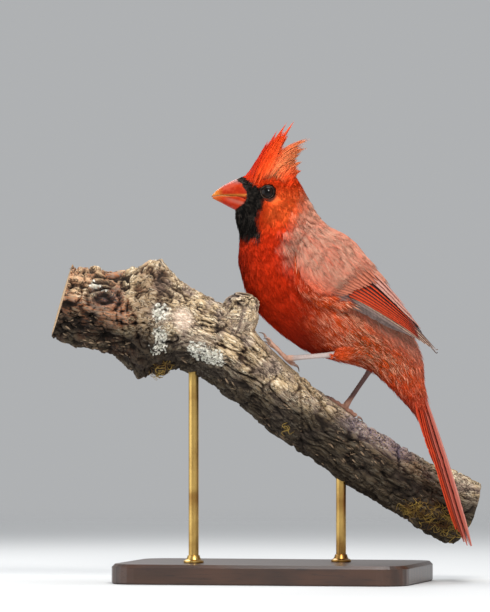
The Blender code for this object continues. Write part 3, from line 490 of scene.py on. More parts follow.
class Sheet:
    # a surface as a grid of points; u runs along the lie of the feathers, v across it
    def __init__(self, points, uSpan, vSpan, loops, plain=None, flip=False):
        self.points, self.plain = points, points if plain is None else plain
        self.uSpan, self.vSpan, self.loops = uSpan, vSpan, loops
        du = np.gradient(points, axis=0)
        if loops:
            dv = (np.roll(points, -1, 1) - np.roll(points, 1, 1)) / 2
        else:
            dv = np.gradient(points, axis=1)
        self.normals = unit(np.cross(dv, du)) * (-1 if flip else 1)
        self.uStep = np.linalg.norm(du, axis=-1) * (len(points) - 1) / (uSpan[1] - uSpan[0])
        columns = points.shape[1] if loops else points.shape[1] - 1
        self.vStep = np.linalg.norm(dv, axis=-1) * columns / (vSpan[1] - vSpan[0])

    def shares(self, u, v):
        # u and v from 0 to 1
        (uFirst, uLast), (vFirst, vLast) = self.uSpan, self.vSpan
        return (u - uFirst) / (uLast - uFirst), (v - vFirst) / (vLast - vFirst)

    def read(self, grid, u, v):
        rows, columns = grid.shape[:2]
        i, j = self.shares(u, v)
        i, j = i * (rows - 1), j * (columns if self.loops else columns - 1)
        low = np.clip(np.floor(i), 0, rows - 2).astype(int)
        left = np.floor(j) if self.loops else np.clip(np.floor(j), 0, columns - 2)
        f, g = i - low, j - left
        left = left.astype(int) % columns
        right = (left + 1) % columns
        if grid.ndim == 3:
            f, g = f[..., None], g[..., None]
        near, far = (grid[low, k] * (1 - f) + grid[low + 1, k] * f for k in (left, right))
        return near * (1 - g) + far * g

    def scatter(self, uSpan, vSpan, apart, pick):
        # roots in staggered rows, about so far apart
        us, vs = [], []
        u, row = uSpan[0], 0
        fine = np.linspace(*vSpan, 181)
        while u < uSpan[1]:
            steps = self.read(self.vStep, np.full(len(fine), u), fine)
            length = np.concatenate(((0,), np.cumsum((steps[1:] + steps[:-1]) / 2 * np.diff(fine))))
            count = max(int(length[-1] / apart), 1)
            spots = np.arange(count) + 0.5 * (row % 2) + 0.25 + pick.uniform(-0.3, 0.3, count)
            spots = spots * length[-1] / count
            v = np.interp(spots % length[-1], length, fine)
            step = self.read(self.uStep, np.full(count, u), v)
            us.append(u + pick.uniform(-0.4, 0.4, count) * apart / np.maximum(step, 0.5))
            vs.append(v)
            u += apart * 0.86 / max(float(np.mean(step)), 0.5)
            row += 1
        return np.concatenate(us), np.concatenate(vs)


def outwardSheet(points, uSpan, vSpan, loops, plain=None):
    # a sheet round a closed form, its normals turned outwards
    sheet = Sheet(points, uSpan, vSpan, loops, plain)
    out = points[30, 0] - points[30].mean(0)
    return sheet if out @ sheet.normals[30, 0] > 0 else Sheet(points, uSpan, vSpan, loops, plain, flip=True)


# Shapes of feathers, in shares of their width and length

def tuftShape(strands, spread, pick, stations=(0.0, 0.45, 0.8), point=0.25):
    # loose barbs that fan out from the shaft, each a thin closed strip with a ridge, down to a narrow point
    points, faces, vane = [], [], []
    for k in range(strands):
        side = 2 * (k + 0.5) / strands - 1
        tipAcross = side * 0.5 * spread + pick.uniform(-0.04, 0.04)
        tipAlong = 1 - 0.22 * abs(side) ** 1.6 - pick.uniform(0.0, 0.3)
        first = 0.08 * abs(side)
        level = pick.uniform(-0.5, 0.5)
        half = 0.55 / strands
        start = len(points)
        for s in stations:
            a = tipAcross * s ** 1.15
            b = first + (tipAlong - first) * s
            w = half * (1 - (1 - point) * s ** 1.7)
            points += [(a - w, b, level), (a + w, b, level), (a, b, level + 0.96)]
            vane += [(0.5 + a - w, b), (0.5 + a + w, b), (0.5 + a, b)]
        points.append((tipAcross, tipAlong, level))
        vane.append((0.5 + tipAcross, tipAlong))
        rings = len(stations)
        faces.append((start, start + 1, start + 2))
        for i in range(rings - 1):
            for j in range(3):
                a, b = start + 3 * i + j, start + 3 * i + (j + 1) % 3
                faces += [(a, a + 3, b + 3), (a, b + 3, b)]
        last = start + 3 * (rings - 1)
        for j in range(3):
            faces.append((last + j, start + 3 * rings, last + (j + 1) % 3))
    return np.array(points), np.array(faces), np.array(vane)


def repeated(faces, count, size):
    # the faces of a shape of so many points, for each of its copies
    return (faces[None] + (np.arange(count) * size)[:, None, None]).reshape(-1, 3)


def layFeathers(sheet, u, v, shape, length, width, lift, sink, heading, pick):
    # tufts of one shape laid over a sheet; lift is how far a tip stands off, sink how deep a root lies
    points, faces, vane = shape
    n, m = len(u), len(points)
    length, width, lift, heading, sink = (k * np.ones(n) for k in (length, width, lift, heading, sink))
    along, across = points[None, :, 1] * length[:, None], points[None, :, 0] * width[:, None]
    ahead = along * np.cos(heading)[:, None] - across * np.sin(heading)[:, None]
    aside = along * np.sin(heading)[:, None] + across * np.cos(heading)[:, None]
    uStep = sheet.read(sheet.uStep, u, v)
    middle = sheet.read(sheet.uStep, np.clip(u + 0.5 * length / uStep, *sheet.uSpan), v)
    uThere = u[:, None] + ahead / np.maximum((uStep + middle)[:, None] / 2, 0.5)
    vHere = np.broadcast_to(v[:, None], (n, m))
    vStep = sheet.read(sheet.vStep, np.clip(uThere, *sheet.uSpan), vHere)
    vThere = vHere + aside / np.maximum(vStep, 0.5)
    s = points[None, :, 1]
    height = lift[:, None] * s ** 1.25 - sink[:, None] * (1 - s) + points[None, :, 2] * 0.16
    out = sheet.read(sheet.normals, uThere, vThere)
    return dict(
        points=(sheet.read(sheet.points, uThere, vThere) + out * height[..., None]).reshape(-1, 3),
        faces=repeated(faces, n, m),
        place=np.repeat(sheet.read(sheet.plain, np.clip(u + 0.6 * length / uStep, *sheet.uSpan), v), m, 0),
        chance=np.repeat(pick.uniform(0, 1, n), m),
        vane=np.tile(vane, (n, 1)),
        patch=np.repeat(sheetSpots(sheet, u, v), m, 0),
    )


def layTufts(sheet, u, v, kinds, pick, shape, measures, turns):
    # tufts in a few shapes; shape makes one, and measures gives the length, width, lift and sink of some
    blocks = []
    for kind in range(kinds.max() + 1):
        some = kinds == kind
        made, sizes = shape(), measures(some)
        heading = pick.normal(*turns, some.sum())
        blocks.append(layFeathers(sheet, u[some], v[some], made, *sizes, heading, pick))
    return blocks


def sheetSpots(sheet, u, v):
    # where a root lies on the sheet's own unwrap, from 0 to 1
    a, b = sheet.shares(u, v)
    return np.stack((np.clip(b % 1.0 if sheet.loops else b, 0.002, 0.998), np.clip(a, 0.002, 0.998)), -1)


patchSize = 0.003  # a tuft's share of its map


def makeCoat(name, blocks, material, extra=()):
    # joins blocks of feathers into one piece
    starts = np.cumsum([0] + [len(b["points"]) for b in blocks[:-1]])
    faces = np.concatenate([b["faces"] + s for b, s in zip(blocks, starts)])
    rows = {key: np.concatenate([b[key] for b in blocks]) for key in blocks[0] if key != "faces"}
    piece = newMesh(name, rows["points"], faces, material)
    setAttributes(piece, **{key: rows[key] for key in ("place", "chance", *extra)})
    setMap(piece, "vane", rows["vane"])
    setMap(piece, "OFBake", rows["patch"] + (np.clip(rows["vane"], 0, 1) - 0.5) * patchSize)
    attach(piece, "root")
    print(name, len(faces), "triangles")


# The body

body = {
    # x and z of the upper edge, x and z of the lower edge, half width, narrowing of the upper half
    "stations": (
        (-14.8, 202, -17.9, 189.5, 4.6, 0.05), (-8.7, 208, -18.7, 185, 7, 0.1),
        (0, 209, -18.9, 181, 9.2, 0.15), (9, 207, -17.9, 177, 11.5, 0.15),
        (15.4, 199, -17.1, 173, 13.8, 0.1), (23, 185.5, -17.6, 167, 17, 0.08),
        (32.7, 175, -17.9, 161, 20.5, 0.06), (44.6, 164, -16.4, 152.5, 24, 0.04),
        (55.5, 149, -11.2, 139.5, 25, 0.02), (64, 137, 0.5, 126.5, 24, 0),
        (70.6, 126.5, 17.4, 115, 20.5, 0), (75, 117.5, 34.8, 109.5, 16, 0),
        (76.9, 110, 48.6, 106, 12.5, 0), (77, 103, 58.8, 98.5, 10, 0),
        (77.4, 97, 65.4, 91.5, 8.2, 0), (79.3, 88, 72, 84.5, 6, 0),
        (81, 79, 76.6, 77.5, 3.5, 0),
    ),
    "face": (-17.6, 0, 195.5),  # the pole inside the bill
    # how deep the skin lies under the coat's outline, station by station
    "depth": (0.6, 0.8, 1.1, 1.3, 1.5, 1.8, 2.1, 2.3, 2.4, 2.4, 2.3, 2.1, 1.9, 1.6, 1.3, 1, 0.7),
    "rows": 420, "columns": 240,
}
lastStation = len(body["stations"]) - 1


def bodyOutline(t, a):
    topX, topZ, lowX, lowZ, half, narrow = np.moveaxis(curveThrough(body["stations"], t), -1, 0)
    c, s = np.cos(a), np.sin(a)
    x = (topX + lowX) / 2 + (topX - lowX) / 2 * c
    z = (topZ + lowZ) / 2 + (topZ - lowZ) / 2 * c
    return np.stack((x, half * (1 - narrow * np.maximum(c, 0)) * s, z), -1)


def makeBodySheet():
    t, a = np.meshgrid(np.linspace(0, lastStation, body["rows"]), circle(body["columns"]), indexing="ij")
    outline = bodyOutline(t, a)
    bare = Sheet(outline, (0, lastStation), (0, 2 * math.pi), True, flip=True)
    depth = np.interp(t, np.arange(len(body["depth"])), body["depth"])
    plain = outline - bare.normals * depth[..., None]
    return Sheet(turnHead(plain), (0, lastStation), (0, 2 * math.pi), True, plain, flip=True)


bodySheet = makeBodySheet()
print("body sheet", bodySheet.points.shape)
setCamera()
setLight()
featherPaint = makePlumage("plumage_feathers")
skinPaint = makeSkinMaterial()


# Feathers with a web: a closed thin vane on a path, its shaft raised

webMarks = ("outerHue", "innerHue", "shaftAt", "contrast")


def bladeBlock(path, acrosses, normals, width, profile, pick, shaftAt, cup, **marks):
    # width in mm; profile is its share along the path; shaftAt is the shaft's place between the two edges
    rows, columns, thick, splits = len(path), 9, 0.22, 2
    across, along = np.linspace(0, 1, columns), np.linspace(0, 1, rows)
    wide = np.interp(along, np.linspace(0, 1, len(profile)), profile) * width
    edge = np.ones((rows, columns))
    for side in (0, columns - 1):
        for row in pick.integers(int(rows * 0.45), rows - 2, splits):
            edge[row, side] = 0.72
    centre = across - shaftAt
    offset = centre[None, :] * wide[:, None]
    outer = np.abs(across - 0.5) == 0.5
    offset[:, outer] *= edge[:, outer]
    rise = np.exp(-((across - shaftAt) / 0.07) ** 2) * 0.12 * (1 - 0.5 * along[:, None])
    height = rise - cup * (2 * centre[None, :]) ** 2 * (wide / width)[:, None]
    top = path[:, None] + acrosses[:, None] * offset[..., None] + normals[:, None] * height[..., None]
    under = top[:, 1:-1:2] - normals[:, None] * (thick * (1 - 0.5 * along))[:, None, None]
    lower = under.shape[1]
    points = np.concatenate((top.reshape(-1, 3), under.reshape(-1, 3)))
    faces = list(halves(gridFaces(rows, columns, False))[:, ::-1])
    first = rows * columns

    def below(i, j):
        # the underside runs rim, lower columns, rim
        if j == 0:
            return i * columns
        if j == lower + 1:
            return i * columns + columns - 1
        return first + i * lower + j - 1

    for i in range(rows - 1):
        for j in range(lower + 1):
            a, b, c, d = below(i, j), below(i + 1, j), below(i + 1, j + 1), below(i, j + 1)
            faces += [(a, b, c), (a, c, d)]
    for i, order in ((0, 1), (rows - 1, -1)):
        ring = [i * columns + k for k in range(columns)]
        ring += [first + i * lower + k for k in reversed(range(lower))]
        for k in range(1, len(ring) - 1):
            faces.append((ring[0], ring[k], ring[k + 1])[::order])
    vane = np.stack(np.broadcast_arrays(across[None, :], along[:, None]), -1)
    vane = np.concatenate((vane.reshape(-1, 2), vane[:, 1:-1:2].reshape(-1, 2)))
    count = len(points)
    block = dict(points=points, faces=np.array(faces), vane=vane, chance=np.full(count, pick.uniform()))
    for key, value in dict(marks, shaftAt=shaftAt).items():
        block[key] = np.tile(value, (count, 1)) if np.ndim(value) else np.full(count, value)
    return block


def makeWebbed():
    # outer and inner web by each feather's own hues, a dark shaft, fine barbs
    paint = Paint("webbed_feathers")
    across, along = paint.map("vane")
    chance = paint.attribute("chance")
    outerHue, innerHue = paint.attribute("outerHue", "Color"), paint.attribute("innerHue", "Color")
    shaftAt, contrast = paint.attribute("shaftAt"), paint.attribute("contrast")
    fromShaft = across - shaftAt
    inner = fromShaft.rise(0, 0.12)
    patch = paint.noise(paint.stretch(paint.objectPlace()[0], (900, 900, 500)), 0.4, 2.0)
    colour = paint.mix(inner, outerHue, innerHue)
    shaft = 1 - abs(fromShaft).rise(0.02, 0.06)
    barbs = (abs(fromShaft) * 26 - along * 150 + patch * 2.0).sine() * 0.5 + 0.5
    colour = paint.shade(colour, 0.78 + barbs * 0.16 + patch * 0.26 + (chance - 0.5) * 0.16)
    streaks = paint.noise(paint.stretch(paint.objectPlace()[0], (900, 900, 260), (0, 0.9, 0)), 1.0, 3.0)
    colour = paint.shade(colour, streaks * 0.5 + 0.75)
    rim = (0.5 - abs(across - 0.5)).rise(0, 0.06)
    colour = paint.shade(colour, 1 - (1 - rim) * contrast * 0.5)
    colour = paint.mix(shaft * contrast, colour, rgb(58, 30, 26))
    normal = paint.bump(barbs, 0.12, 0.5)
    return paint.finish(colour, Roughness=0.6, Normal=normal, shine=0.15)


webPaint = makeWebbed()


# The wings

wing = {
    # ribs from shoulder to tip: x, depth and z of the lower edge, then of the upper edge
    "ribs": (
        (16.3, 19.5, 166, 25.2, 9, 178), (21.2, 25.2, 153, 39.5, 8.5, 171),
        (29.1, 26.8, 145, 49.5, 7.5, 160.3), (42.7, 25.8, 139.5, 59.9, 6.8, 148.3),
        (57.1, 21.5, 131.5, 68.9, 6, 137.2), (67.8, 16.5, 125, 77, 5.4, 127.2),
        (74.6, 12.5, 121, 85.6, 5, 116.4),
    ),
    # the skin under the wing: its end along the wing and round it, and the shares in which its ends close
    "core": {"end": 0.46, "turn": 1.52, "front": 0.16, "back": 0.2},
    # how far its faces lie off the wing's surface, at its rim and how much more at its middle
    "faces": ((-0.9, 0.7), (-1.2, -0.8)),
}


def wingGrid(a, turn, side):
    # a from shoulder to tip; turn from 0 at the lower edge to a quarter turn at the upper edge
    ribs = curveThrough(wing["ribs"], a * (len(wing["ribs"]) - 1))
    lowX, lowY, lowZ, topX, topY, topZ = np.moveaxis(ribs, -1, 0)
    if side > 0:
        # the far wing lies a little lower and nearer the back's middle
        topX, topY, topZ = topX - 2.6, topY - 2.4, topZ - 1.8
    b = np.sin(turn)
    depth = topY + (lowY - topY) * np.cos(turn)
    return np.stack((lowX + (topX - lowX) * b, side * depth, lowZ + (topZ - lowZ) * b), -1)


def makeWingSheet(side):
    aSpan, turnSpan = (-0.08, 1.12), (-0.15, math.pi / 2)
    a, turn = np.meshgrid(np.linspace(*aSpan, 160), np.linspace(*turnSpan, 80), indexing="ij")
    points = wingGrid(a, turn, side)
    sheet = Sheet(points, aSpan, turnSpan, False)
    outward = sheet.normals[60, 10][1] * side > 0
    return sheet if outward else Sheet(points, aSpan, turnSpan, False, flip=True)


wingSheets = {side: makeWingSheet(side) for side in (-1, 1)}


def wingBlade(side, root, tip, width, lift, lean, profile, pick, dip=0.0, **marks):
    # a feather of the folded wing, from root to tip as (a, b), where b is the share of the wing's height
    sheet = wingSheets[side]
    s = np.linspace(0, 1, 26)
    a = root[0] + (tip[0] - root[0]) * s
    b = root[1] + (tip[1] - root[1]) * s - dip * np.sin(math.pi * s)
    turn = np.where(b < 1, np.arcsin(np.clip(b, -0.15, 1)), math.pi / 2)
    normals = sheet.read(sheet.normals, a, turn)
    path = sheet.read(sheet.points, a, turn)
    along = unit(np.gradient(path, axis=0))
    normals = unit(normals - along * (normals * along).sum(-1, keepdims=True))
    across = np.cross(normals, along)
    across = np.where(across[:, 2:] < 0, -across, across)
    tilt = lean * smooth(s * 3)[:, None]
    acrosses = across * np.cos(tilt) - normals * np.sin(tilt)
    path = path + normals * (lift * smooth(0.3 + s * 1.7))[:, None]
    normals = unit(normals * np.cos(tilt) + across * np.sin(tilt))
    where = sheetSpots(sheet, np.array([a[0]]), np.array([turn[0]]))[0]
    return bladeBlock(path, acrosses, normals, width, profile, pick, place=path[0], patch=where, **marks)


wingProfiles = {
    "flight": (0.45, 0.8, 0.98, 1.0, 0.99, 0.96, 0.9, 0.78, 0.5, 0.12),
    "pointed": (0.45, 0.8, 0.98, 1.0, 0.95, 0.86, 0.74, 0.58, 0.36, 0.08),
    "covert": (0.5, 0.75, 0.92, 1.0, 1.03, 1.03, 1.0, 0.9, 0.68, 0.2),
}
wingHues = {
    "primary": (rgb(218, 178, 154), rgb(92, 72, 66)), "primaryLow": (rgb(128, 108, 102), rgb(84, 72, 70)),
    "secondary": (rgb(204, 66, 30), rgb(56, 32, 30)), "tertial": (rgb(198, 142, 128), rgb(172, 114, 102)),
    "greater": (rgb(180, 104, 80), rgb(158, 88, 68)), "median": (rgb(172, 116, 94), rgb(150, 98, 78)),
    "hand": (rgb(128, 92, 84), rgb(76, 58, 58)), "tail": (rgb(216, 132, 116), rgb(186, 92, 76)),
    "tailEdge": (rgb(222, 88, 50), rgb(196, 66, 36)), "tailUnder": (rgb(214, 92, 62), rgb(140, 58, 44)),
}


def hues(name, pick, contrast=0.6):
    outer, inner = (np.array(c[:3]) * pick.uniform(0.92, 1.08) for c in wingHues[name])
    return dict(outerHue=outer, innerHue=inner, contrast=contrast)


# groups of wing feathers from the lowest layer up: hue, count, width, first root, last root, first tip and
# last tip as in wingBlade, first and last lift, shaft's place, cup, profile, contrast
wingGroups = (
    ("primaryLow", 4, 5.4, (0.4, 0.04), (0.4, 0.2), (0.85, 0.04), (0.93, 0.3), (-1, -0.7), 0.3, 0.2,
     "flight", 0.35),
    ("primary", 5, 4.8, (0.4, 0.22), (0.4, 0.5), (0.95, 0.42), (1.05, 0.95), (-0.6, -0.3), 0.12, 0.2,
     "pointed", 0.3),
    ("secondary", 8, 4.2, (0.32, 0.16), (0.36, 0.82), (0.91, 0.56), (0.81, 0.9), (0.2, 0.8), 0.2, 0.3,
     "pointed", 0.6),
    ("tertial", 3, 4.8, (0.34, 0.84), (0.32, 0.95), (0.82, 0.92), (0.66, 0.985), (1, 1.2), 0.42, 0.25,
     "covert", 0.4),
    ("hand", 4, 4, (0.22, 0.03), (0.24, 0.16), (0.55, 0.06), (0.46, 0.24), (0.7, 1), 0.35, 0.25,
     "covert", 0.6),
    ("greater", 12, 4.6, (0.2, 0.12), (0.2, 0.92), (0.455, 0.2), (0.475, 0.9), (1, 1.5), 0.4, 0.12,
     "covert", 0.3),
    ("median", 9, 5.2, (0.08, 0.1), (0.08, 0.94), (0.31, 0.16), (0.33, 0.93), (0.9, 1.3), 0.45, 0.1,
     "covert", 0.12),
)


def makeWing(side, word):
    pick = np.random.default_rng(21)
    blades = []
    for name, count, width, *corners, lifts, shaftAt, cup, profile, contrast in wingGroups:
        root, lastRoot, tip, lastTip = np.array(corners)
        for share in np.linspace(0, 1, count):
            start = root + (lastRoot - root) * share
            end = tip + (lastTip - tip) * share + (pick.normal(0, 0.006), 0)
            lift = lifts[0] + (lifts[1] - lifts[0]) * share
            blades.append(wingBlade(
                side, start, end, width, lift, 0.16, wingProfiles[profile], pick, shaftAt=shaftAt, cup=cup,
                **hues(name, pick, contrast)))
    makeCoat("wing_feathers_" + word, blades, webPaint, webMarks)

    # soft coverts on the shoulder and shoulder feathers along the upper edge
    sheet = wingSheets[side]
    blocks = []
    for uSpan, vSpan, gap, lengths, lift in (
            ((-0.07, 0.3), (0.0, math.pi / 2), 1.35, (8.0, 11.0), 1.9),
            ((0.2, 0.4), (1.2, math.pi / 2), 1.8, (10.0, 14.0), 1.4)):
        u, v = sheet.scatter(uSpan, vSpan, gap, pick)
        length = np.interp(u, uSpan, lengths) * pick.uniform(0.85, 1.15, len(u))
        stands = lift * np.interp(u, (-0.07, 0.06), (0.5, 1.0)) * pick.uniform(0.85, 1.1, len(u))
        blocks += layTufts(
            sheet, u, v, pick.integers(0, 4, len(u)), pick, lambda: tuftShape(9, 1.3, pick),
            lambda some: (length[some], 3.0, stands[some], -0.8 * stands[some]), (0, 0.07))
    makeCoat("wing_coverts_" + word, blocks, featherPaint)

    # long flank feathers that close over the wing's lower edge and take the flank's colours
    u, v = sheet.scatter((-0.02, 0.44), (-0.14, 0.1), 1.5, pick)
    blocks = layTufts(
        sheet, u, v, pick.integers(0, 4, len(u)), pick, lambda: tuftShape(9, 1.3, pick),
        lambda some: (pick.uniform(11, 16, some.sum()), 4.2, 1.9 * pick.uniform(0.6, 1.1, some.sum()), 0.2),
        (-0.12, 0.12))
    for block in blocks:
        block["place"] = block["place"] - (0, 0, 15)
    makeCoat("coat_flank_" + word, blocks, featherPaint)


# The tail

tail = {
    "root": (75.4, 0.0, 100.0), "tip": (101.6, 0.0, 18.8),
    # by pair, the middle one first: sideways offset, length, depth below the top one
    "pairs": (
        (1.1, 1.0, 0.0), (2.2, 0.99, 1.65), (3.0, 0.965, 2.45), (3.8, 0.9, 3.25), (4.6, 0.885, 4.05),
        (5.0, 0.5, 4.85)),
    "hues": ("tail", "tail", "tailUnder", "tailEdge", "tailEdge", "tailEdge"),
    "splay": 0.012, "roof": math.radians(6), "width": 8.2, "steps": 44,
    "profile": (0.3, 0.45, 0.62, 0.76, 0.85, 0.92, 0.97, 1.0, 1.0, 0.98, 0.9, 0.66, 0.2),
    "under": 0.82,  # how far the right one of the middle pair lies under the left one
    "fallen": (0.062, 0.58),  # slope and length of the outermost right feather
}


def tailBlade(side, pair, pick):
    offset, length, depth = tail["pairs"][pair]
    root = np.array(tail["root"])
    reach = np.array(tail["tip"]) - root
    right = np.array((0.0, 1.0, 0.0))
    up = unit(np.cross(right, reach))
    up = up if up[0] > 0 else -up
    drop = 0.0
    if pair == 0 and side > 0:
        depth += tail["under"]
    if pair == 5 and side > 0:
        drop, length = tail["fallen"]
    along = unit(unit(reach) + right * side * tail["splay"] * pair - up * drop)
    across = right * math.cos(tail["roof"]) - up * side * math.sin(tail["roof"])
    across = unit(across - along * np.dot(across, along))
    normal = unit(np.cross(across, along))
    normal = normal if np.dot(normal, up) > 0 else -normal
    span = np.linalg.norm(reach) * length
    s = np.linspace(0, 1, tail["steps"])[:, None]
    path = root + along * span * s + right * side * offset * np.minimum(0.4 + 1.6 * s, 1)
    path = path - up * (depth * np.minimum(0.6 + 1.2 * s, 1) - 0.9 * np.sin(math.pi * s * length))
    acrosses, normals = np.tile(across * side, (len(s), 1)), np.tile(normal, (len(s), 1))
    block = bladeBlock(
        path, acrosses, normals, tail["width"], tail["profile"], pick, shaftAt=0.5, cup=0.3, place=path[0],
        patch=(0.1 + 0.14 * pair + 0.03 * side, 0.5), **hues(tail["hues"][pair], pick))
    if side > 0:
        block["faces"] = block["faces"][:, ::-1]
    return block


def makeTail():
    pick = np.random.default_rng(31)
    blocks = [tailBlade(side, pair, pick) for pair in range(6) for side in (-1, 1)]
    makeCoat("tail_feathers", blocks, webPaint, webMarks)


# The crest

crest = {
    # from forehead to nape: root x and z, tip x and z, and how far the feather bows forwards
    "rows": (
        (-12.6, 203.5, -1.6, 221.8, -0.03), (-10.2, 205.5, 3.2, 227.2, -0.03), (-8, 206.5, 8.4, 231, 0),
        (-5.5, 207.5, 12.2, 231.6, 0), (-3.5, 208, 9, 224.4, 0.02), (-1.5, 208, 20.4, 221.6, 0.12),
        (1, 207.5, 18.6, 216.8, 0.12), (3.5, 206.5, 15.6, 214.2, 0.1), (6, 205, 15.8, 210.2, 0.1),
        (8, 203, 15.6, 205.8, 0.08),
    ),
    "count": 1500, "strands": 5, "halfWidth": 7.4,
}


def makeCrest():
    pick = np.random.default_rng(41)
    count = crest["count"]
    row = pick.uniform(0, len(crest["rows"]) - 1, count)
    aside = pick.uniform(-1, 1, count)
    share = np.minimum((1.1 - 0.5 * np.abs(aside) ** 1.4) * pick.uniform(0.66, 1.02, count), 1.03)
    longest = share > 0.9
    row[longest] = np.round(row[longest]) + pick.normal(0, 0.06, longest.sum())
    row = np.clip(row, 0, len(crest["rows"]) - 1)
    rootX, rootZ, tipX, tipZ, bow = np.moveaxis(curveThrough(crest["rows"], row), -1, 0)
    drop = 1.6 + 6.0 * aside ** 2
    roots = np.stack((rootX + pick.normal(0, 0.7, count), aside * crest["halfWidth"], rootZ - drop), -1)
    roots[:, 0] += 2.6 * aside ** 2 * (row < 3)
    tips = np.stack((tipX, aside * 1.5 * (1.25 - share), tipZ), -1)
    tips = roots + (tips - roots) * share[:, None]
    chord = tips - roots
    length = np.linalg.norm(chord, axis=-1, keepdims=True)
    fore = unit(np.stack((-chord[:, 2], 0 * chord[:, 1], chord[:, 0]), -1)) * length * bow[:, None]
    bulge = np.stack((0 * aside, np.sign(aside) * (0.3 + 1.3 * np.abs(aside)), 0 * aside), -1)
    width = 1.9 - 0.7 * share
    blocks = []
    kinds = pick.integers(0, 5, count)
    for kind in range(5):
        some = kinds == kind
        points, faces, vane = tuftShape(crest["strands"], 0.8, pick, (0.0, 0.3, 0.6, 0.85), 0.3)
        s = points[None, :, 1, None]
        arch = np.sin(math.pi * s)
        centre = roots[some][:, None] + chord[some][:, None] * s + (fore + bulge)[some][:, None] * arch
        across = unit(np.cross(unit(chord[some]), (0, 1, 0)))
        outward = np.sign(aside[some])[:, None]
        out = np.cross(across, unit(chord[some])) * outward
        out = np.where(out[:, 1:2] * outward < 0, -out, out)
        place = centre + across[:, None] * points[None, :, 0, None] * width[some][:, None, None]
        place = place + out[:, None] * points[None, :, 2, None] * 0.14
        n, m = int(some.sum()), len(points)
        patch = np.stack(((row[some] / 10) * 0.9 + 0.05, aside[some] * 0.45 + 0.5), -1)
        blocks.append(dict(
            points=turnHead(place.reshape(-1, 3)), faces=repeated(faces, n, m),
            place=np.repeat(roots[some] + chord[some] * 0.5, m, 0), patch=np.repeat(patch, m, 0),
            chance=np.repeat(pick.uniform(0, 1, n), m), vane=np.tile(vane, (n, 1))))
    makeCoat("crest", blocks, featherPaint)


# The eyes and lids

eye = {
    "radius": 4.3, "opening": 3.0, "axis": (-0.16, 0.06), "iris": 2.55, "pupil": 1.75,
    # the lid's profile: distance from the middle, height over the ball's edge in the opening
    "lid": (
        (2.88, -0.3), (2.94, 0.04), (3.06, 0.2), (3.24, 0.24), (3.38, 0.14), (3.5, -0.1), (3.66, -0.7),
        (3.8, -1.7), (3.7, -2.4), (3.3, -2.0)),
}


def eyeFrame(side):
    # the eyeball's middle from its solid, and its outward, fore and up directions
    low, high = (fromWorld(corner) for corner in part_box("eye_left" if side < 0 else "eye_right"))
    centre = (low + high) / 2
    fore, up = eye["axis"]
    out = unit(turnHead((fore * 10, side * 10, 200 + up * 10)) - turnHead((0, 0, 200)))
    up = unit(np.array((0, 0, 1)) - out * out[2])
    return centre, out, np.cross(up, out) * side, up


def makeEyePaint():
    paint = Paint("eye")
    across, along = paint.map("disc")
    radius = (across * across + along * along) ** 0.5
    wobble = paint.noise(paint.objectPlace()[0], 900.0, 2.0)
    iris = radius.rise(eye["pupil"] - 0.08, eye["pupil"] + 0.1)
    iris = iris * (1 - radius.rise(eye["iris"], eye["iris"] + 0.3))
    colour = paint.mix(iris, rgb(8, 6, 6), paint.mix(wobble, rgb(36, 20, 12), rgb(20, 11, 8)))
    return paint.finish(colour, Roughness=0.02, shine=0.15)


def makeLidPaint():
    paint = Paint("eyelid")
    grain = paint.noise(paint.objectPlace()[0], 1600.0, 3.0)
    across, along = paint.map("disc")
    radius = (across * across + along * along) ** 0.5
    rim = 1 - abs(radius - 3.25).rise(0.04, 0.24)
    edge = paint.mix(grain.rise(0.4, 0.6), rgb(30, 25, 22), rgb(104, 88, 76))
    colour = paint.mix(rim, rgb(13, 11, 10), edge)
    return paint.finish(colour, Roughness=0.7, Normal=paint.bump(grain, 0.2, 0.6), shine=0.1)


def makeEyes():
    eyePaint, lidPaint = makeEyePaint(), makeLidPaint()
    for side, word in ((-1, "left"), (1, "right")):
        centre, out, fore, up = eyeFrame(side)
        angles = np.linspace(0, math.pi, 28)
        turn = circle(48)[:, None]
        reach = eye["radius"] + 0.22 * np.exp(-((angles / 0.5) ** 2))
        angle = angles[1:-1, None, None]
        ring = (fore * np.cos(turn) + up * np.sin(turn)) * np.sin(angle)
        rings = centre + reach[1:-1, None, None] * (out * np.cos(angle) + ring)
        points, faces = closedTube(rings, start=centre + out * reach[0], end=centre - out * reach[-1])
        ball = newMesh("eyeball_" + word, points, faces if side < 0 else faces[:, ::-1], eyePaint)
        setMap(ball, "disc", (points - centre) @ np.stack((fore, up), -1))
        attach(ball, "root")
        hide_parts("eye_" + word)

        # the lids: a rounded rim that rests on the ball and slopes back under the feathers
        level = math.sqrt(eye["radius"] ** 2 - eye["opening"] ** 2)
        rings = []
        for angle in circle(64):
            away = fore * math.cos(angle) * 1.06 + up * math.sin(angle) * 0.94
            wrinkle = 0.05 * math.sin(angle * 17) + 0.04 * math.sin(angle * 29 + 1)
            rings.append([centre + away * r + out * (level + h + wrinkle) for r, h in eye["lid"]])
        points = np.array(rings).transpose(1, 0, 2).reshape(-1, 3)
        lid = newMesh("eyelid_" + word, points, halves(gridFaces(len(eye["lid"]), 64, True)), lidPaint)
        tidyFaces(lid, closes=True)
        setMap(lid, "disc", (points - centre) @ np.stack((fore, up), -1))
        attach(lid, "root")


# The bill

bill = {
    # x, z of the ridge, the mouth and the keel, half width
    "rows": (
        (-29.4, 193.9, 192.6, 191.7, 0.9), (-27.1, 196, 193.1, 190.5, 2.3),
        (-24.5, 197.8, 193.3, 189.2, 3.6), (-21, 199.6, 193, 187.3, 5.1),
        (-17.4, 201.2, 192.8, 185.6, 6.5), (-13.8, 202.3, 191.8, 184.6, 7.4),
        (-10, 202.6, 189.4, 184.4, 7.6),
    ),
    "tips": {"upper": (-30.3, 192.4), "lower": (-29.7, 191.9)}, "gap": 0.16,
    "nostril": (-16, 3.9, 198.9),
}


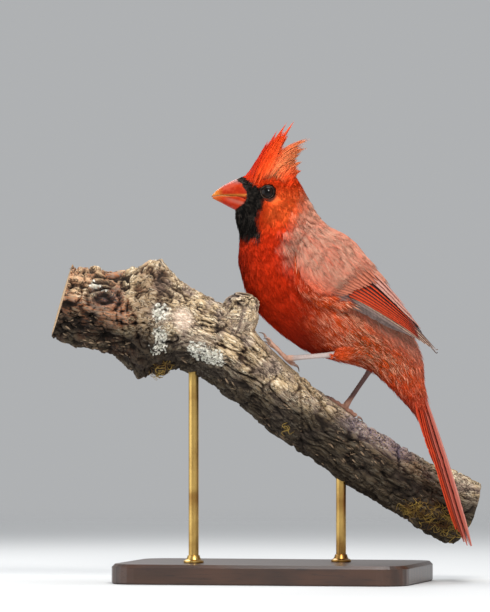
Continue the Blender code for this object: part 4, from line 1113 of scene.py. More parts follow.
def makeBillPaint():
    paint = Paint("bill")
    vector, sides = paint.place()
    x, z = sides[::2]
    cloud = paint.noise(vector, 0.28, 3.0)
    grain = paint.noise(paint.stretch(vector, (0.6, 3.0, 3.0)), 1.4, 3.0)
    upper = z.rise(192.6, 193.4)
    tip = 1 - x.rise(-29, -23.5)
    root = x.rise(-21, -16.5) * (z - 197.4 + (x + 20) * -0.2).rise(0, 2.6)
    middle = upper * z.rise(194.5, 196.5) * (1 - x.rise(-20, -17)) * x.rise(-28, -24)
    edge = 1 - abs(z - 193.3 + (x + 20).least(0) * -0.02).rise(0.25, 1)
    # painted highlight: a pale stripe on the rear of the lower mandible
    shine = (1 - upper) * x.rise(-25, -20) * (1 - abs(z - 190.6 + (x + 20) * 0.28).rise(0.3, 1.7))
    keel = (1 - upper) * (1 - (z - 188.2 + (x + 17) * 0.45).rise(0, 2))
    colour = paint.layers(
        paint.mix(cloud.rise(0.4, 0.6), rgb(158, 36, 8), rgb(180, 52, 16)),
        (tip * 0.8, rgb(222, 138, 52)),
        (root * 0.8 * upper, rgb(138, 104, 100)),
        (middle * cloud.rise(0.4, 0.6) * 0.3, rgb(190, 96, 80)),
        (edge * 0.7, rgb(190, 120, 50)),
        (shine * 0.3, rgb(216, 150, 132)),
        (keel * 0.45, rgb(206, 52, 24)))
    colour = paint.shade(colour, 0.84 + grain * 0.3)
    return paint.finish(colour, Roughness=0.45, Normal=paint.bump(grain, 0.12, 0.35), shine=0.1)


def makeBill():
    billPaint = makeBillPaint()
    stations = np.linspace(0, len(bill["rows"]) - 1, 42)
    for word, sign in (("upper", 1), ("lower", -1)):
        x, ridge, mouth, keel, half = np.moveaxis(curveThrough(bill["rows"], stations), -1, 0)
        far = ridge if sign > 0 else keel
        edge = mouth + sign * bill["gap"] / 2
        turn = np.linspace(0, math.pi, 25)
        y = half[:, None] * np.cos(turn)
        lift = np.abs(np.sin(turn)) ** 0.85
        crease = 0.16 * np.exp(-((turn - math.pi / 2) / 0.12) ** 2) * (sign > 0)
        z = edge[:, None] + (far - edge)[:, None] * (lift + crease * 0.3)
        arch = np.stack(np.broadcast_arrays(x[:, None], y, z), -1)
        # the biting edge stands a little proud, and the mouth's roof is hollow
        inside = np.linspace(-0.92, 0.92, 9)
        roof = edge[:, None] + (far - edge)[:, None] * 0.25 * (1 - np.abs(inside) ** 2)
        mouthSide = np.stack(np.broadcast_arrays(x[:, None], half[:, None] * inside, roof), -1)
        rings = np.concatenate((arch, mouthSide), 1)
        if sign > 0:
            pit = np.array(bill["nostril"])
            for pitSide in (-1, 1):
                gone = np.linalg.norm((rings - pit * (1, pitSide, 1)) / (1.35, 1.0, 0.75), axis=-1)
                pull = 0.24 * np.exp(-(gone / 0.75) ** 2)
                rings = rings - (rings - (-14.0, 0, 196.0)) * pull[..., None]
        tipX, tipZ = bill["tips"][word]
        points, faces = closedTube(rings, start=(tipX, 0, tipZ))
        faces = faces if sign < 0 else faces[:, ::-1]
        piece = newMesh("bill_" + word + "_horn", turnHead(points), faces, billPaint)
        tidyFaces(piece)
        setAttributes(piece, place=points)
        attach(piece, "root")
        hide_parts("bill_" + word)


# where the face's feathers end on the bill: x by the turn from the ridge to the keel
billLine = ((0, 0.5, 1.1, 1.57, 2, 2.6, math.pi), (-17.8, -17.2, -14.3, -10.6, -10.4, -14, -18.6))


def makeLores():
    stations, turn = np.meshgrid(np.linspace(3.0, 6.0, 60), circle(96), indexing="ij")
    x, ridge, mouth, keel, half = np.moveaxis(curveThrough(bill["rows"], stations), -1, 0)
    c, s = np.cos(turn), np.sin(turn)
    height = np.where(c > 0, ridge - mouth, keel - mouth) * np.abs(c) ** 0.85
    plain = np.stack((x, half * s, mouth + height), -1)
    sheet = outwardSheet(turnHead(plain), (3.0, 6.0), (0, 2 * math.pi), True, plain)
    pick = np.random.default_rng(61)
    u, v = sheet.scatter((3.1, 5.9), (0, 2 * math.pi), 0.5, pick)
    around = np.minimum(v % (2 * math.pi), 2 * math.pi - v % (2 * math.pi))
    past = sheet.read(sheet.plain, u, v)[:, 0] - np.interp(around, *billLine) + pick.normal(0, 0.25, len(u))
    u, v, past = u[past > 0], v[past > 0], past[past > 0]
    lift = 0.35 + 0.25 * np.minimum(past, 3.0)
    blocks = layTufts(
        sheet, u, v, np.arange(len(u)) % 3, pick, lambda: tuftShape(4, 1.0, pick, (0.0, 0.5)),
        lambda some: (pick.uniform(2.0, 3.0, some.sum()), 1.2, lift[some], 0.1), (0, 0.2))
    makeCoat("coat_lores", blocks, featherPaint)


# The thighs

thighs = {
    # x, y and z of the middle, and the radius, from the body down
    "left": (
        (53, -9.5, 119.5, 7), (46, -13.4, 116.6, 5.8), (38.8, -16, 114.6, 4.2), (37.3, -16.5, 114.2, 3.6),
        (36, -16.9, 113.8, 2.1)),
    "right": (
        (58, 9.5, 115, 6.5), (53.5, 11.2, 111.5, 4.6), (50.2, 12, 108.6, 3), (49, 12.3, 107.5, 2.6),
        (48, 12.5, 106.6, 1.5)),
}


def makeThighSheet(word):
    path = curveThrough(thighs[word], np.linspace(0, len(thighs[word]) - 1, 60))
    rings = sweep(path[:, :3], np.maximum(path[:, 3] - 1.3, 0.5), 48)
    return outwardSheet(rings, (0, 1), (0, 2 * math.pi), True)


thighSheets = {word: makeThighSheet(word) for word in thighs}


def thighCoat():
    pick = np.random.default_rng(51)
    for word, sheet in thighSheets.items():
        u, v = sheet.scatter((0.05, 0.97), (0, 2 * math.pi), 0.95, pick)
        blocks = []
        for kind in range(3):
            some = np.arange(len(u)) % 3 == kind
            length = np.minimum(6.5, (1.0 - u[some]) * 18.0 + 0.8) * pick.uniform(0.8, 1.1, some.sum())
            shape = tuftShape(6, 1.0, pick)
            lift = 1.1 * pick.uniform(0.7, 1.2, some.sum())
            heading = pick.normal(0, 0.15, some.sum())
            blocks.append(layFeathers(sheet, u[some], v[some], shape, length, 2.2, lift, 0.4, heading, pick))
        makeCoat("coat_thigh_" + word, blocks, featherPaint)


# The skin under the coat, in one piece

def wingCore(sheet):
    # a flat shell under a wing's feathers, which thins out to its ends and edges
    core = wing["core"]
    a, turn = np.meshgrid(np.linspace(0.0, core["end"], 30), np.linspace(0.02, 1.5, 24), indexing="ij")
    middle, normal = sheet.read(sheet.points, a, turn), sheet.read(sheet.normals, a, turn)
    ends = np.clip(np.minimum(a / core["front"], (core["end"] - a) / core["back"]), 0, 1)
    full = np.sqrt(np.clip(1 - np.abs(2 * turn / core["turn"] - 1) ** 4, 0, 1) * ends)[..., None]
    outer, inner = (middle + normal * (base + more * full) for base, more in wing["faces"])
    return closedTube(np.concatenate((outer, inner[:, ::-1]), 1))


def makeSkin():
    parts = [closedTube(bodySheet.points[::3, ::3], start=turnHead(body["face"]))]
    parts += [closedTube(sheet.points[::2, ::2]) for sheet in thighSheets.values()]
    parts += [wingCore(sheet) for sheet in wingSheets.values()]
    skin = joinBySkin("bird_skin", parts, 0.9, skinPaint)
    spots = np.empty(len(skin.data.vertices) * 3, np.float32)
    skin.data.vertices.foreach_get("co", spots)
    setAttributes(skin, place=turnHead(fromWorld(spots.reshape(-1, 3)), back=True))
    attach(skin, "root")
    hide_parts("head", "neck", "torso", "tail", "thigh_left", "thigh_right", "wing_left", "wing_right")


def clearOfEyes(u, v, length):
    # feathers end before the eyes' openings, and none grows inside them
    spots = bodySheet.read(bodySheet.points, u, v)
    ahead = unit(bodySheet.read(bodySheet.points, u + 0.02, v) - spots)
    keep = np.ones(len(u), bool)
    length = length.copy()
    room = 3.45
    for side in (-1, 1):
        centre, out = eyeFrame(side)[:2]
        away = centre + out * 3.0 - spots
        near = (away * out).sum(-1)
        flat = away - near[:, None] * out
        close = np.abs(near) < 6
        keep &= ~(close & (np.linalg.norm(flat, axis=-1) < room))
        reach = (flat * ahead).sum(-1)
        miss = np.linalg.norm(flat - ahead * reach[:, None], axis=-1)
        crosses = close & (reach > 0) & (miss < room)
        stop = reach - np.sqrt(np.maximum(room ** 2 - miss ** 2, 0))
        length = np.where(crosses, np.minimum(length, np.maximum(stop, 0.8)), length)
    return keep, length


def underWing(spots):
    # roots that the folded wings hide
    hidden = np.zeros(len(spots), bool)
    for side, sheet in wingSheets.items():
        tree = searchTree(sheet.points[12:110:4, 12:76:4])[0]
        for i, spot in enumerate(spots):
            if spot[1] * side > 4 and tree.find_nearest(Vector(spot), 7.0)[0] is not None:
                hidden[i] = True
    return hidden


coatRegions = (
    # name, stations, gap, length, width, lift, strands, rings of a strand
    ("coat_face", (0.05, 1.6), 0.58, (2.2, 4), (1.2, 1.7), 0.6, 5, (0, 0.5)),
    ("coat_head", (1.6, 4.2), 0.92, (5, 9), (1.8, 2.6), 1.1, 8, (0, 0.5)),
    ("coat_neck", (4.2, 6.4), 1.8, (11, 14.5), (3.4, 4.2), 1.5, 9, (0, 0.4, 0.75)),
    ("coat_breast", (6.4, 9), 2.1, (15, 18), (4.6, 5.2), 2, 11, (0, 0.4, 0.75)),
    ("coat_belly", (9, 12.6), 2.1, (18, 16), (5, 4.6), 2.2, 11, (0, 0.4, 0.75)),
    ("coat_rump", (12.6, 15.6), 1.7, (15, 11), (4.2, 3.4), 1.4, 10, (0, 0.4, 0.75)),
)


def overWing(tips):
    # how much further out a tip must stand to lie over a folded wing
    extra = np.zeros(len(tips))
    for side, sheet in wingSheets.items():
        tree, faces = searchTree(sheet.points[6:130:4, 4:80:5])
        normals = sheet.normals[6:130:4, 4:80:5].reshape(-1, 3)
        for i, tip in enumerate(tips):
            found = tree.find_nearest(Vector(tip), 7.0) if tip[1] * side >= 2 else (None,)
            if found[0] is None:
                continue
            out, apart = normals[faces[found[2]][0]], tip - np.array(found[0])
            stands = apart @ out
            if np.linalg.norm(apart - out * stands) < 1.2:
                extra[i] = np.clip(2.3 - stands, 0, 3.6)
    return extra


def bodyCoat():
    pick = np.random.default_rng(5)
    for name, (first, last), gap, lengths, widths, lift, strands, rings in coatRegions:
        for word, vSpan in (("right", (0, math.pi)), ("left", (math.pi, 2 * math.pi))):
            u, v = bodySheet.scatter((first, last), vSpan, gap, pick)
            share = np.clip((u - first) / (last - first), 0, 1)
            length = (lengths[0] + (lengths[1] - lengths[0]) * share) * pick.uniform(0.8, 1.15, len(u))
            if last < 5:
                keep, length = clearOfEyes(u, v, length)
            else:
                keep = ~underWing(bodySheet.read(bodySheet.points, u, v))
            u, v, share, length = u[keep], v[keep], share[keep], length[keep]
            width = (widths[0] + (widths[1] - widths[0]) * share) * pick.uniform(0.85, 1.15, len(u))
            lifts = lift * pick.uniform(0.7, 1.2, len(u))
            if name in ("coat_neck", "coat_breast"):
                far = u + length / bodySheet.read(bodySheet.uStep, u, v)
                lifts += overWing(bodySheet.read(bodySheet.points, far, v))
            kinds = pick.integers(0, 4, len(u))
            blocks = layTufts(
                bodySheet, u, v, kinds, pick, lambda: tuftShape(strands, 1.35, pick, rings),
                lambda some: (length[some], width[some], lifts[some], 0.6), (0, 0.16))
            makeCoat(name + "_" + word, blocks, featherPaint)


# The branch

branch = {
    # x, y and z of the middle, and the radius, from the thick end on
    "rows": (
        (-99.1, -38.9, 139.5, 18.2), (-88.5, -36, 136.5, 19.4), (-73.5, -31.9, 133.5, 19),
        (-57.5, -27.6, 131.5, 24.5), (-48.3, -25.1, 129.5, 22.4), (-38.2, -22.4, 126.4, 19.2),
        (-28, -20.2, 121.9, 18.6), (-18.9, -17.6, 115.2, 18), (-9.4, -13.3, 105.8, 16.8),
        (1.1, -7.5, 95.5, 15.5), (14.1, -1.3, 84, 15.3), (26.6, 4.6, 74.5, 15.4), (40.6, 11.2, 63.5, 15),
        (57.3, 19.2, 52.5, 15.3), (67.9, 24.6, 46, 15.5), (80.9, 31.4, 38.5, 16.2),
        (91.6, 36.9, 33.5, 16.2),
    ),
    # swellings: x, y, z, height, spread
    "knobs": (
        (-66, -29, 162, 4.5, 6), (-52, -27, 156, 2.5, 5), (-58, -26, 100, 6, 7),
        (-90, -40, 160, 2.2, 7), (-44, -44, 132, 2, 8), (92, 36, 52, 1.6, 5),
    ),
    "stub": (
        (-19, -19.5, 117), (-15.6, -21, 126), (-12, -22.4, 134), (-10, -23.4, 140.5),
        (-9.4, -23.8, 143.4)),
    "stubRadii": (11, 10.6, 9.8, 8.6, 5.2),
    "knot": (-74, -52, 142),
    "bare": (-38.5, -41, 131),
    # white crusts: x, y, z, reach
    "crusts": (
        (-48, -48, 134, 5.5), (-47.5, -47, 124, 5), (-48.5, -45, 118, 4),
        (-30, -37, 116, 5), (-24, -35, 113.5, 4), (-20, -36, 111, 3.5),
        (-78, -49, 149, 4),
    ),
    # tangled rootlets: x, y, z, reach
    "rootlets": (
        (80, 16, 33, 7), (70, 12, 36, 6), (88, 22, 28, 6), (-49, -34, 108, 5),
        (10, -15, 78, 3)),
    # cracks across the branch: x of the crack on the axis, depth
    "cracks": ((64, 2), (18, 1.2), (-16, 1.2), (-62.5, 1.2), (42, 0.7)),
    "lengthSteps": 430, "roundSteps": 196,
}


def grains(points, seed):
    # smooth noise from 0 to 1 on a lattice of unit cells
    cell = np.floor(points).astype(np.int64)
    f = smooth(points - cell)
    total = 0
    for corner in range(8):
        step = np.array((corner & 1, corner >> 1 & 1, corner >> 2 & 1))
        k = cell + step
        value = k[..., 0] * 73856093 ^ k[..., 1] * 19349663 ^ k[..., 2] * 83492791 ^ seed * 2654435761
        value = (value ^ (value >> 13)) * 1274126177 & 0x7FFFFFFF
        value = ((value ^ (value >> 16)) & 0xFFFF) / 65535
        total = total + value * np.prod(np.where(step == 1, f, 1 - f), axis=-1)
    return total


def sway(points, seed):
    # the same noise from -0.5 to 0.5
    return grains(points, seed) - 0.5


def near(points, spot, reach):
    return np.exp(-(np.linalg.norm(points - np.array(spot[:3]), axis=-1) / reach) ** 2)


def groove(field, wide):
    return np.exp(-((field - 0.5) / wide) ** 2)


def barkDetail(points, grain, feet):
    # how far the fine bark lies over or under its plain form, and how weathered a place is
    bend = np.stack([sway(points / 13, k) for k in (1, 2, 3)], -1)
    lie = grain + bend * (10, 5, 5)
    plates = grains(lie / (17, 4.6, 4.6), 4)
    strips = grains(lie / (8, 2.3, 2.3), 5)
    threads = grains(lie / (4.5, 1.1, 1.1), 6)
    rough = smooth((-30 - points[..., 0]) / 30)
    bare = smooth(near(points, branch["bare"], 7.5) * 3 - 0.9)
    steps = np.floor(plates * 7 + strips * 0.8) / 7
    height = sway(points / 7, 7) * (1 + rough) + 1.1 * (steps - 0.5)
    height = height + 0.9 * (strips - 0.5) + 0.9 * (threads - 0.5)
    height += 0.7 * sway(lie / (6.5, 0.75, 0.75), 17) + 0.5 * sway(points / 2.2, 8)
    height -= 1.4 * groove(plates, 0.03) + 1.1 * groove(strips, 0.06) + 0.8 * groove(threads, 0.08)
    # the rough left end is broken up by holes and torn plates
    chunks = grains(points / (5.5, 5.5, 4.5) + 9, 9)
    holes = smooth((grains(points / 3.6, 10) - 0.68) * 9)
    height += rough * (2.2 * (chunks - 0.5) - 2.4 * groove(chunks, 0.05) - 1.6 * holes)
    # the thick bark ends in a torn rim, right of which the wood is bare
    rim = points[..., 0] + 48.5 + 2.5 * sway(points / 6, 11) + 0.05 * (points[..., 2] - 130)
    height += 1.7 * (1 - smooth(rim / 1.6 + 0.5)) * smooth((rim + 12) / 10)
    # rings round the old knot
    away = np.linalg.norm((points - branch["knot"]) * (0.8, 0.6, 1.0), axis=-1) + 2.0 * sway(points / 5, 12)
    knot = np.exp(-(away / 9) ** 2)
    height = height * (1 - 0.7 * knot) + knot * (1.5 * np.sin(away * 1.7) - 2.6 * np.exp(-(away / 2.6) ** 2))
    for x, depth in branch["cracks"]:
        line = points[..., 0] - x + 5.0 * sway(points / 8, 13) + (points[..., 2] - 60) * 0.05
        height -= depth * np.exp(-(line / 0.55) ** 2) * smooth(grains(points / 9, 14) * 3 - 0.8)
    height = height * (1 - 0.93 * bare) - 0.9 * bare
    # trodden flat under the toes
    for spot in feet:
        height = height + (np.minimum(height, 0) * 0.4 - 0.35 - height) * near(points, spot, 6.0)
    return height, bare


def branchAxis(t):
    return curveThrough(branch["rows"], t * (len(branch["rows"]) - 1))


def branchFrame(t):
    here = branchAxis(t)
    along = unit((branchAxis(np.minimum(t + 0.01, 1)) - branchAxis(np.maximum(t - 0.01, 0)))[..., :3])
    across = unit(np.cross(along, (0, 0, 1)))
    return here, along, across, np.cross(across, along)


def makeBarkPaint():
    paint = Paint("bark")
    vector, (x, y, z) = paint.place()
    grain = paint.attribute("grain", "Vector")
    relief, bare, crust, sawn, ringAt = (
        paint.attribute(name) for name in ("relief", "bare", "crust", "sawn", "ringAt"))
    cloud = paint.noise(vector, 0.09, 4.0)
    fibres = paint.noise(paint.stretch(grain, (0.22, 1.5, 1.5)), 1.0, 4.0, 0.6)
    specks = paint.noise(vector, 1.7, 3.0, 0.6)
    winding = paint.noise(paint.stretch(grain, (0.14, 0.42, 0.42)), 1.0, 3.0, 0.55)
    cracks = (1 - abs(winding - 0.5).rise(0.004, 0.035)).most(1 - abs(winding - 0.6).rise(0.004, 0.025))
    rust = (1 - x.rise(-66, -48)) * cloud.rise(0.4, 0.56)
    tan = (1 - x.rise(-92, -70)) * z.rise(136, 152)
    # painted sheen: bluish violet along the top of the branch's middle
    skySheen = x.rise(30, 44) * (1 - x.rise(62, 72)) * (z + x * 0.62 - 99).rise(-3, 5)
    brown = x.rise(-64, -56) * (1 - x.rise(-47, -43)) * (1 - z.rise(154, 162))
    knot = 1 - ((x + 73) * (x + 73) * 0.5 + (z - 144) * (z - 144)).rise(10, 80)
    knot = knot * (1 - y.rise(-48, -38))
    moss = (1 - (z + x * 0.55 - 62).rise(-10, 4)) * x.rise(46, 62) * specks.rise(0.5, 0.62)
    run, over = paint.split(grain)[::2]
    # painted shade: the underside of the branch is darkened, higher up its sides towards the thin end
    lower = 1 - (over - run.rise(90, 160) * 14 - (1 - run.rise(10, 50)) * 5).rise(-13, 1)
    wood = (ringAt * 70.0 + fibres * 2.0).sine() * 0.5 + 0.5
    wood = paint.mix(wood * 0.6 + cloud * 0.3, rgb(206, 176, 138), rgb(164, 128, 92))
    colour = paint.layers(
        paint.mix(relief.rise(0.3, 0.75), rgb(70, 52, 38), rgb(190, 164, 128)),
        (cloud.rise(0.45, 0.62) * 0.7, rgb(140, 122, 112)),
        (fibres.rise(0.46, 0.64) * relief.rise(0.4, 0.75), rgb(222, 208, 182)),
        (rust * fibres.rise(0.42, 0.55) * 0.75, rgb(168, 98, 52)),
        (tan * specks.rise(0.4, 0.55) * 0.7, rgb(206, 166, 130)),
        (skySheen * specks.rise(0.3, 0.6) * 0.75, rgb(118, 108, 134)),
        (brown * (0.35 + cracks * 0.3 + specks * 0.4), rgb(92, 66, 46)),
        (knot * specks.rise(0.42, 0.5) * 0.8, rgb(34, 34, 48)),
        (bare, paint.mix(fibres.rise(0.4, 0.65), rgb(196, 170, 148), rgb(226, 208, 190))),
        (moss * 0.5, rgb(126, 108, 48)),
        (crust * specks.rise(0.4, 0.52), rgb(222, 218, 206)),
        (cracks * (1 - bare * 0.7) * (0.3 + fibres), rgb(30, 22, 16)),
        # painted shade: the deepest crevices are painted near black
        ((1 - relief.rise(0.1, 0.5)) * 0.95, rgb(22, 16, 12)),
        (lower * 0.9, rgb(25, 19, 14)),
        (sawn, paint.mix(ringAt.rise(0.9, 0.97) * 0.8, wood, rgb(92, 66, 48))))
    colour = paint.shade(colour, specks * 0.6 + fibres * 0.5 + 0.66)
    height = (fibres + specks * 0.7 - cracks * 0.8) * (1 - sawn * 0.8)
    return paint.finish(colour, Roughness=0.85, Normal=paint.bump(height, 0.5, 0.7), shine=0.25)


def shown(detail):
    # the relief that the bark's paint reads, from 0 in the cracks to 1 on the ridges
    return np.clip((detail + 3.4) / 5.0, 0, 1)


def makeBranch(feet, barkPaint):
    t, a = np.linspace(0, 1, branch["lengthSteps"]), circle(branch["roundSteps"])
    here, along, across, up = branchFrame(t)
    out = across[:, None] * np.cos(a)[:, None] + up[:, None] * np.sin(a)[:, None]
    rim = here[:, None, :3] + out * here[:, None, 3:4]
    T, A = np.meshgrid(t, a, indexing="ij")
    plain = 0.5 * np.sin(5 * A + 9 * T) + 0.35 * np.sin(9 * A - 23 * T + 1.3) + 0.35 * np.sin(31 * T + 2 * A)
    for x, y, z, height, spread in branch["knobs"]:
        plain += height * near(rim, (x, y, z), spread * 2.2)
    length = np.concatenate(((0,), np.cumsum(np.linalg.norm(np.diff(here[:, :3], axis=0), axis=-1))))
    radius = here[:, 3:4]
    grain = np.stack((np.broadcast_to(length[:, None], T.shape), radius * np.cos(A), radius * np.sin(A)), -1)
    points = rim + out * plain[..., None]
    detail, bare = barkDetail(points, grain, feet)
    ends = smooth(np.minimum(length, length[-1] - length) / 1.2)[:, None]
    detail = detail * (0.35 + 0.65 * ends) - 0.5 * (1 - ends)
    points = points + out * detail[..., None]
    crust = sum(near(points, spot, spot[3]) for spot in branch["crusts"])
    crust = np.clip(crust * 1.6 - 0.35 + 0.5 * sway(points / 3, 15), 0, 1)
    # both ends are sawn flat, with the growth rings showing
    shares = np.array((0.06, 0.3, 0.55, 0.8, 0.94, 0.995))[:, None]
    lids = [points[row].mean(0) + (points[row] - points[row].mean(0)) * shares[..., None] for row in (0, -1)]
    spots, faces = closedTube(np.concatenate((lids[0], points, lids[1][::-1])))

    def whole(values, first=0.0, last=0.0):
        # one value for each vertex, with the lids' own values and the two poles
        first, last = (np.broadcast_to(lid, (len(shares),) + values.shape[1:]) for lid in (first, last))
        flat = np.concatenate((first, values, last)).reshape(-1, *values.shape[2:])
        return np.concatenate((flat, flat[:1], flat[-1:]))

    bark = newMesh("branch_bark", spots, faces, barkPaint)
    onBark = whole(np.ones(T.shape))
    lidGrain = np.array((1, 0, 0)) + np.array((0, 1, 1)) * shares[..., None]
    grain = whole(grain, grain[0] * lidGrain, grain[-1] * lidGrain[::-1])
    ahead = np.broadcast_to(along[:, None], points.shape)
    flake = smooth(grains(spots / 9, 16) * 3 - 1.2) * onBark * (1 - whole(bare))
    for spot in feet:
        flake = flake * (1 - near(spots, spot, 7.0))
    tangle = sum(near(spots, spot, spot[3]) for spot in branch["rootlets"])
    setAttributes(
        bark, relief=whole(shown(detail), 0.7, 0.7), bare=whole(bare), crust=whole(crust), sawn=1 - onBark,
        ringAt=whole(np.ones(T.shape), shares, shares[::-1]), place=spots, grain=grain,
        ahead=whole(ahead, ahead[0], ahead[-1]), flakeHere=flake,
        rootletHere=np.clip(tangle * 1.5 - 0.3, 0, 1) * onBark)
    tidyFaces(bark)
    print("branch", len(faces), "triangles")
    return bark


def makeStub(barkPaint):
    rows, columns = 90, 100
    t = np.linspace(0, len(branch["stub"]) - 1, rows)
    path = curveThrough(branch["stub"], t)
    rings = sweep(path, np.interp(t, np.arange(5), branch["stubRadii"]), columns)
    aside = rings - path[:, None]
    grain = np.stack(np.broadcast_arrays(t[:, None] * 6.5, aside[..., 1], aside[..., 0]), -1)
    detail = barkDetail(rings, grain + 40, ())[0]
    fade = smooth((t[-1] - t) / 0.3 + 0.3)[:, None]
    rings = rings + unit(aside) * (detail * 0.75 * fade)[..., None]
    # the broken end is dished, with a ragged lip
    lip = rings[-1]
    centre = lip.mean(0)
    dish = [
        centre + (1.6 * (1 - share), -1.2 * (1 - share), drop) + (lip - centre) * share
        for share, drop in ((0.86, 0.5), (0.7, 0.6), (0.52, -0.2), (0.35, -1.4), (0.15, -2.2))]
    points, faces = closedTube(np.concatenate((rings, dish)))
    stub = newMesh("branch_stub", points, faces, barkPaint)
    # painted shade: the dish gets a low relief, so the bark paint darkens it towards its middle
    dark = np.repeat(np.array((0.6, 0.5, 0.3, 0.15, 0.1))[:, None], columns, 1)
    relief = np.concatenate((shown(detail), dark)).ravel()
    none = np.zeros(len(points))
    setAttributes(
        stub, relief=np.concatenate((relief, relief[:1], relief[-1:])), bare=none, crust=none, sawn=none,
        ringAt=none + 1, place=points, grain=points)
    tidyFaces(stub)
    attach(stub, "root")


# Small things scattered or set in rows by Geometry Nodes

class Tree:
    # a Geometry Nodes tree with named inputs
    def __init__(self, name, inputs):
        self.tree = bpy.data.node_groups.new(name, "GeometryNodeTree")
        self.tree.interface.new_socket("Geometry", in_out="INPUT", socket_type="NodeSocketGeometry")
        for label, kind, value in inputs:
            socket = self.tree.interface.new_socket(label, in_out="INPUT", socket_type="NodeSocket" + kind)
            if value is not None:
                socket.default_value = value
        self.tree.interface.new_socket("Geometry", in_out="OUTPUT", socket_type="NodeSocketGeometry")
        self.start = self.tree.nodes.new("NodeGroupInput")
        self.end = self.tree.nodes.new("NodeGroupOutput")

    def add(self, kind, settings, inputs):
        node = self.tree.nodes.new(kind)
        for key, value in settings.items():
            setattr(node, key, value)
        for key, value in inputs.items():
            if isinstance(value, bpy.types.NodeSocket):
                self.tree.links.new(value, node.inputs[key])
            else:
                node.inputs[key].default_value = value
        return node

    def named(self, name, kind="FLOAT_VECTOR"):
        # an attribute of the mesh
        node = self.add("GeometryNodeInputNamedAttribute", {"data_type": kind}, {"Name": name})
        return node.outputs["Attribute"]

    def place(self, points, shape, scale, out, ahead, spin):
        # sets a shape on points, its Z along out and its X along ahead, then made plain
        align = "FunctionNodeAlignRotationToVector"
        turned = self.add(align, {"axis": "Z"}, {"Vector": out}).outputs[0]
        lain = {"Rotation": turned, "Vector": ahead}
        turned = self.add(align, {"axis": "X", "pivot_axis": "Z"}, lain).outputs[0]
        spun = {"Rotation": turned, "Rotate By": spin}
        turned = self.add("FunctionNodeRotateRotation", {"rotation_space": "LOCAL"}, spun).outputs[0]
        shapes = self.add("GeometryNodeObjectInfo", {}, {"Object": shape}).outputs["Geometry"]
        placed = self.add("GeometryNodeInstanceOnPoints", {}, {
            "Points": points, "Instance": shapes, "Rotation": turned, "Scale": scale}).outputs[0]
        real = self.add("GeometryNodeRealizeInstances", {}, {"Geometry": placed}).outputs[0]
        finish = {"Geometry": real, "Material": self.start.outputs["Finish"]}
        painted = self.add("GeometryNodeSetMaterial", {}, finish)
        self.tree.links.new(painted.outputs[0], self.end.inputs[0])
        return self.tree


def makeScatterTree():
    tree = Tree("scatter", (
        ("Shape", "Object", None), ("Finish", "Material", None), ("Density", "Float", 1000.0),
        ("Where", "String", ""), ("Least Size", "Float", 0.5), ("Greatest Size", "Float", 1.0),
        ("Spin", "Float", 0.4), ("Seed", "Int", 1)))
    given = tree.start.outputs
    times = {"operation": "MULTIPLY"}
    where = tree.named(given["Where"], "FLOAT")
    density = tree.add("ShaderNodeMath", times, {0: where, 1: given["Density"]}).outputs[0]
    spread = tree.add("GeometryNodeDistributePointsOnFaces", {}, {
        "Mesh": given["Geometry"], "Density": density, "Seed": given["Seed"]}).outputs
    size = tree.add("FunctionNodeRandomValue", {"data_type": "FLOAT"}, {
        2: given["Least Size"], 3: given["Greatest Size"], "Seed": given["Seed"]}).outputs[1]
    back = tree.add("ShaderNodeMath", times, {0: given["Spin"], 1: -1.0}).outputs[0]
    low, high = (tree.add("ShaderNodeCombineXYZ", {}, {2: end}).outputs[0] for end in (back, given["Spin"]))
    spin = tree.add("FunctionNodeRandomValue", {"data_type": "FLOAT_VECTOR"}, {0: low, 1: high}).outputs[0]
    scale = tree.add("ShaderNodeCombineXYZ", {}, {0: size, 1: size, 2: size}).outputs[0]
    turn = tree.add("FunctionNodeEulerToRotation", {}, {0: spin}).outputs[0]
    return tree.place(spread["Points"], given["Shape"], scale, spread["Normal"], tree.named("ahead"), turn)


def makeRowTree():
    tree = Tree("scutes", (("Shape", "Object", None), ("Finish", "Material", None), ("Size", "Float", 1.0)))
    given = tree.start.outputs
    points = tree.add("GeometryNodeMeshToPoints", {}, {"Mesh": given["Geometry"]}).outputs[0]
    sizes = {0: tree.named("size"), "Scale": given["Size"]}
    scale = tree.add("ShaderNodeVectorMath", {"operation": "SCALE"}, sizes).outputs[0]
    level = tree.add("FunctionNodeEulerToRotation", {}, {}).outputs[0]
    return tree.place(points, given["Shape"], scale, tree.named("out"), tree.named("ahead"), level)


def grow(name, source, tree, settings):
    # runs a tree over a source and keeps the result as a plain piece
    maker = source.modifiers.new(name, "NODES")
    maker.node_group = tree
    for item in tree.interface.items_tree:
        if item.in_out == "INPUT" and item.name in settings:
            maker[item.identifier] = settings[item.name]
    source.update_tag()
    bpy.context.view_layer.update()
    piece = evaluated(name, source)
    source.modifiers.remove(maker)
    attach(piece, "root")


def shapeAtOrigin(name, points, faces):
    # a small shape in mm round the origin, to be repeated
    shape = newMesh(name, np.asarray(points, float) - shift, faces)
    tidyFaces(shape)
    return shape


def makeFlakeShape():
    outline = (
        (-2.6, -0.3), (-1.4, -0.7), (0.4, -0.62), (1.9, -0.34), (2.9, 0.1), (1.7, 0.52), (0.1, 0.75),
        (-1.7, 0.5))
    low = [(x, y, -0.25) for x, y in outline]
    high = [(x * 0.86, y * 0.8, 0.22 + 0.12 * x) for x, y in outline]
    return shapeAtOrigin("flake_shape", *closedTube((low, high)))


def makeCrustShape():
    turn = circle(9)
    ragged = 1 + 0.28 * np.sin(turn * 3 + 1) + 0.14 * np.sin(turn * 5)
    rings = [
        np.stack((np.cos(turn) * ragged * r, np.sin(turn) * ragged * r, 0 * turn + z), -1)
        for r, z in ((0.9, -0.2), (1.0, 0.1), (0.6, 0.24))]
    return shapeAtOrigin("crust_shape", *closedTube(rings))


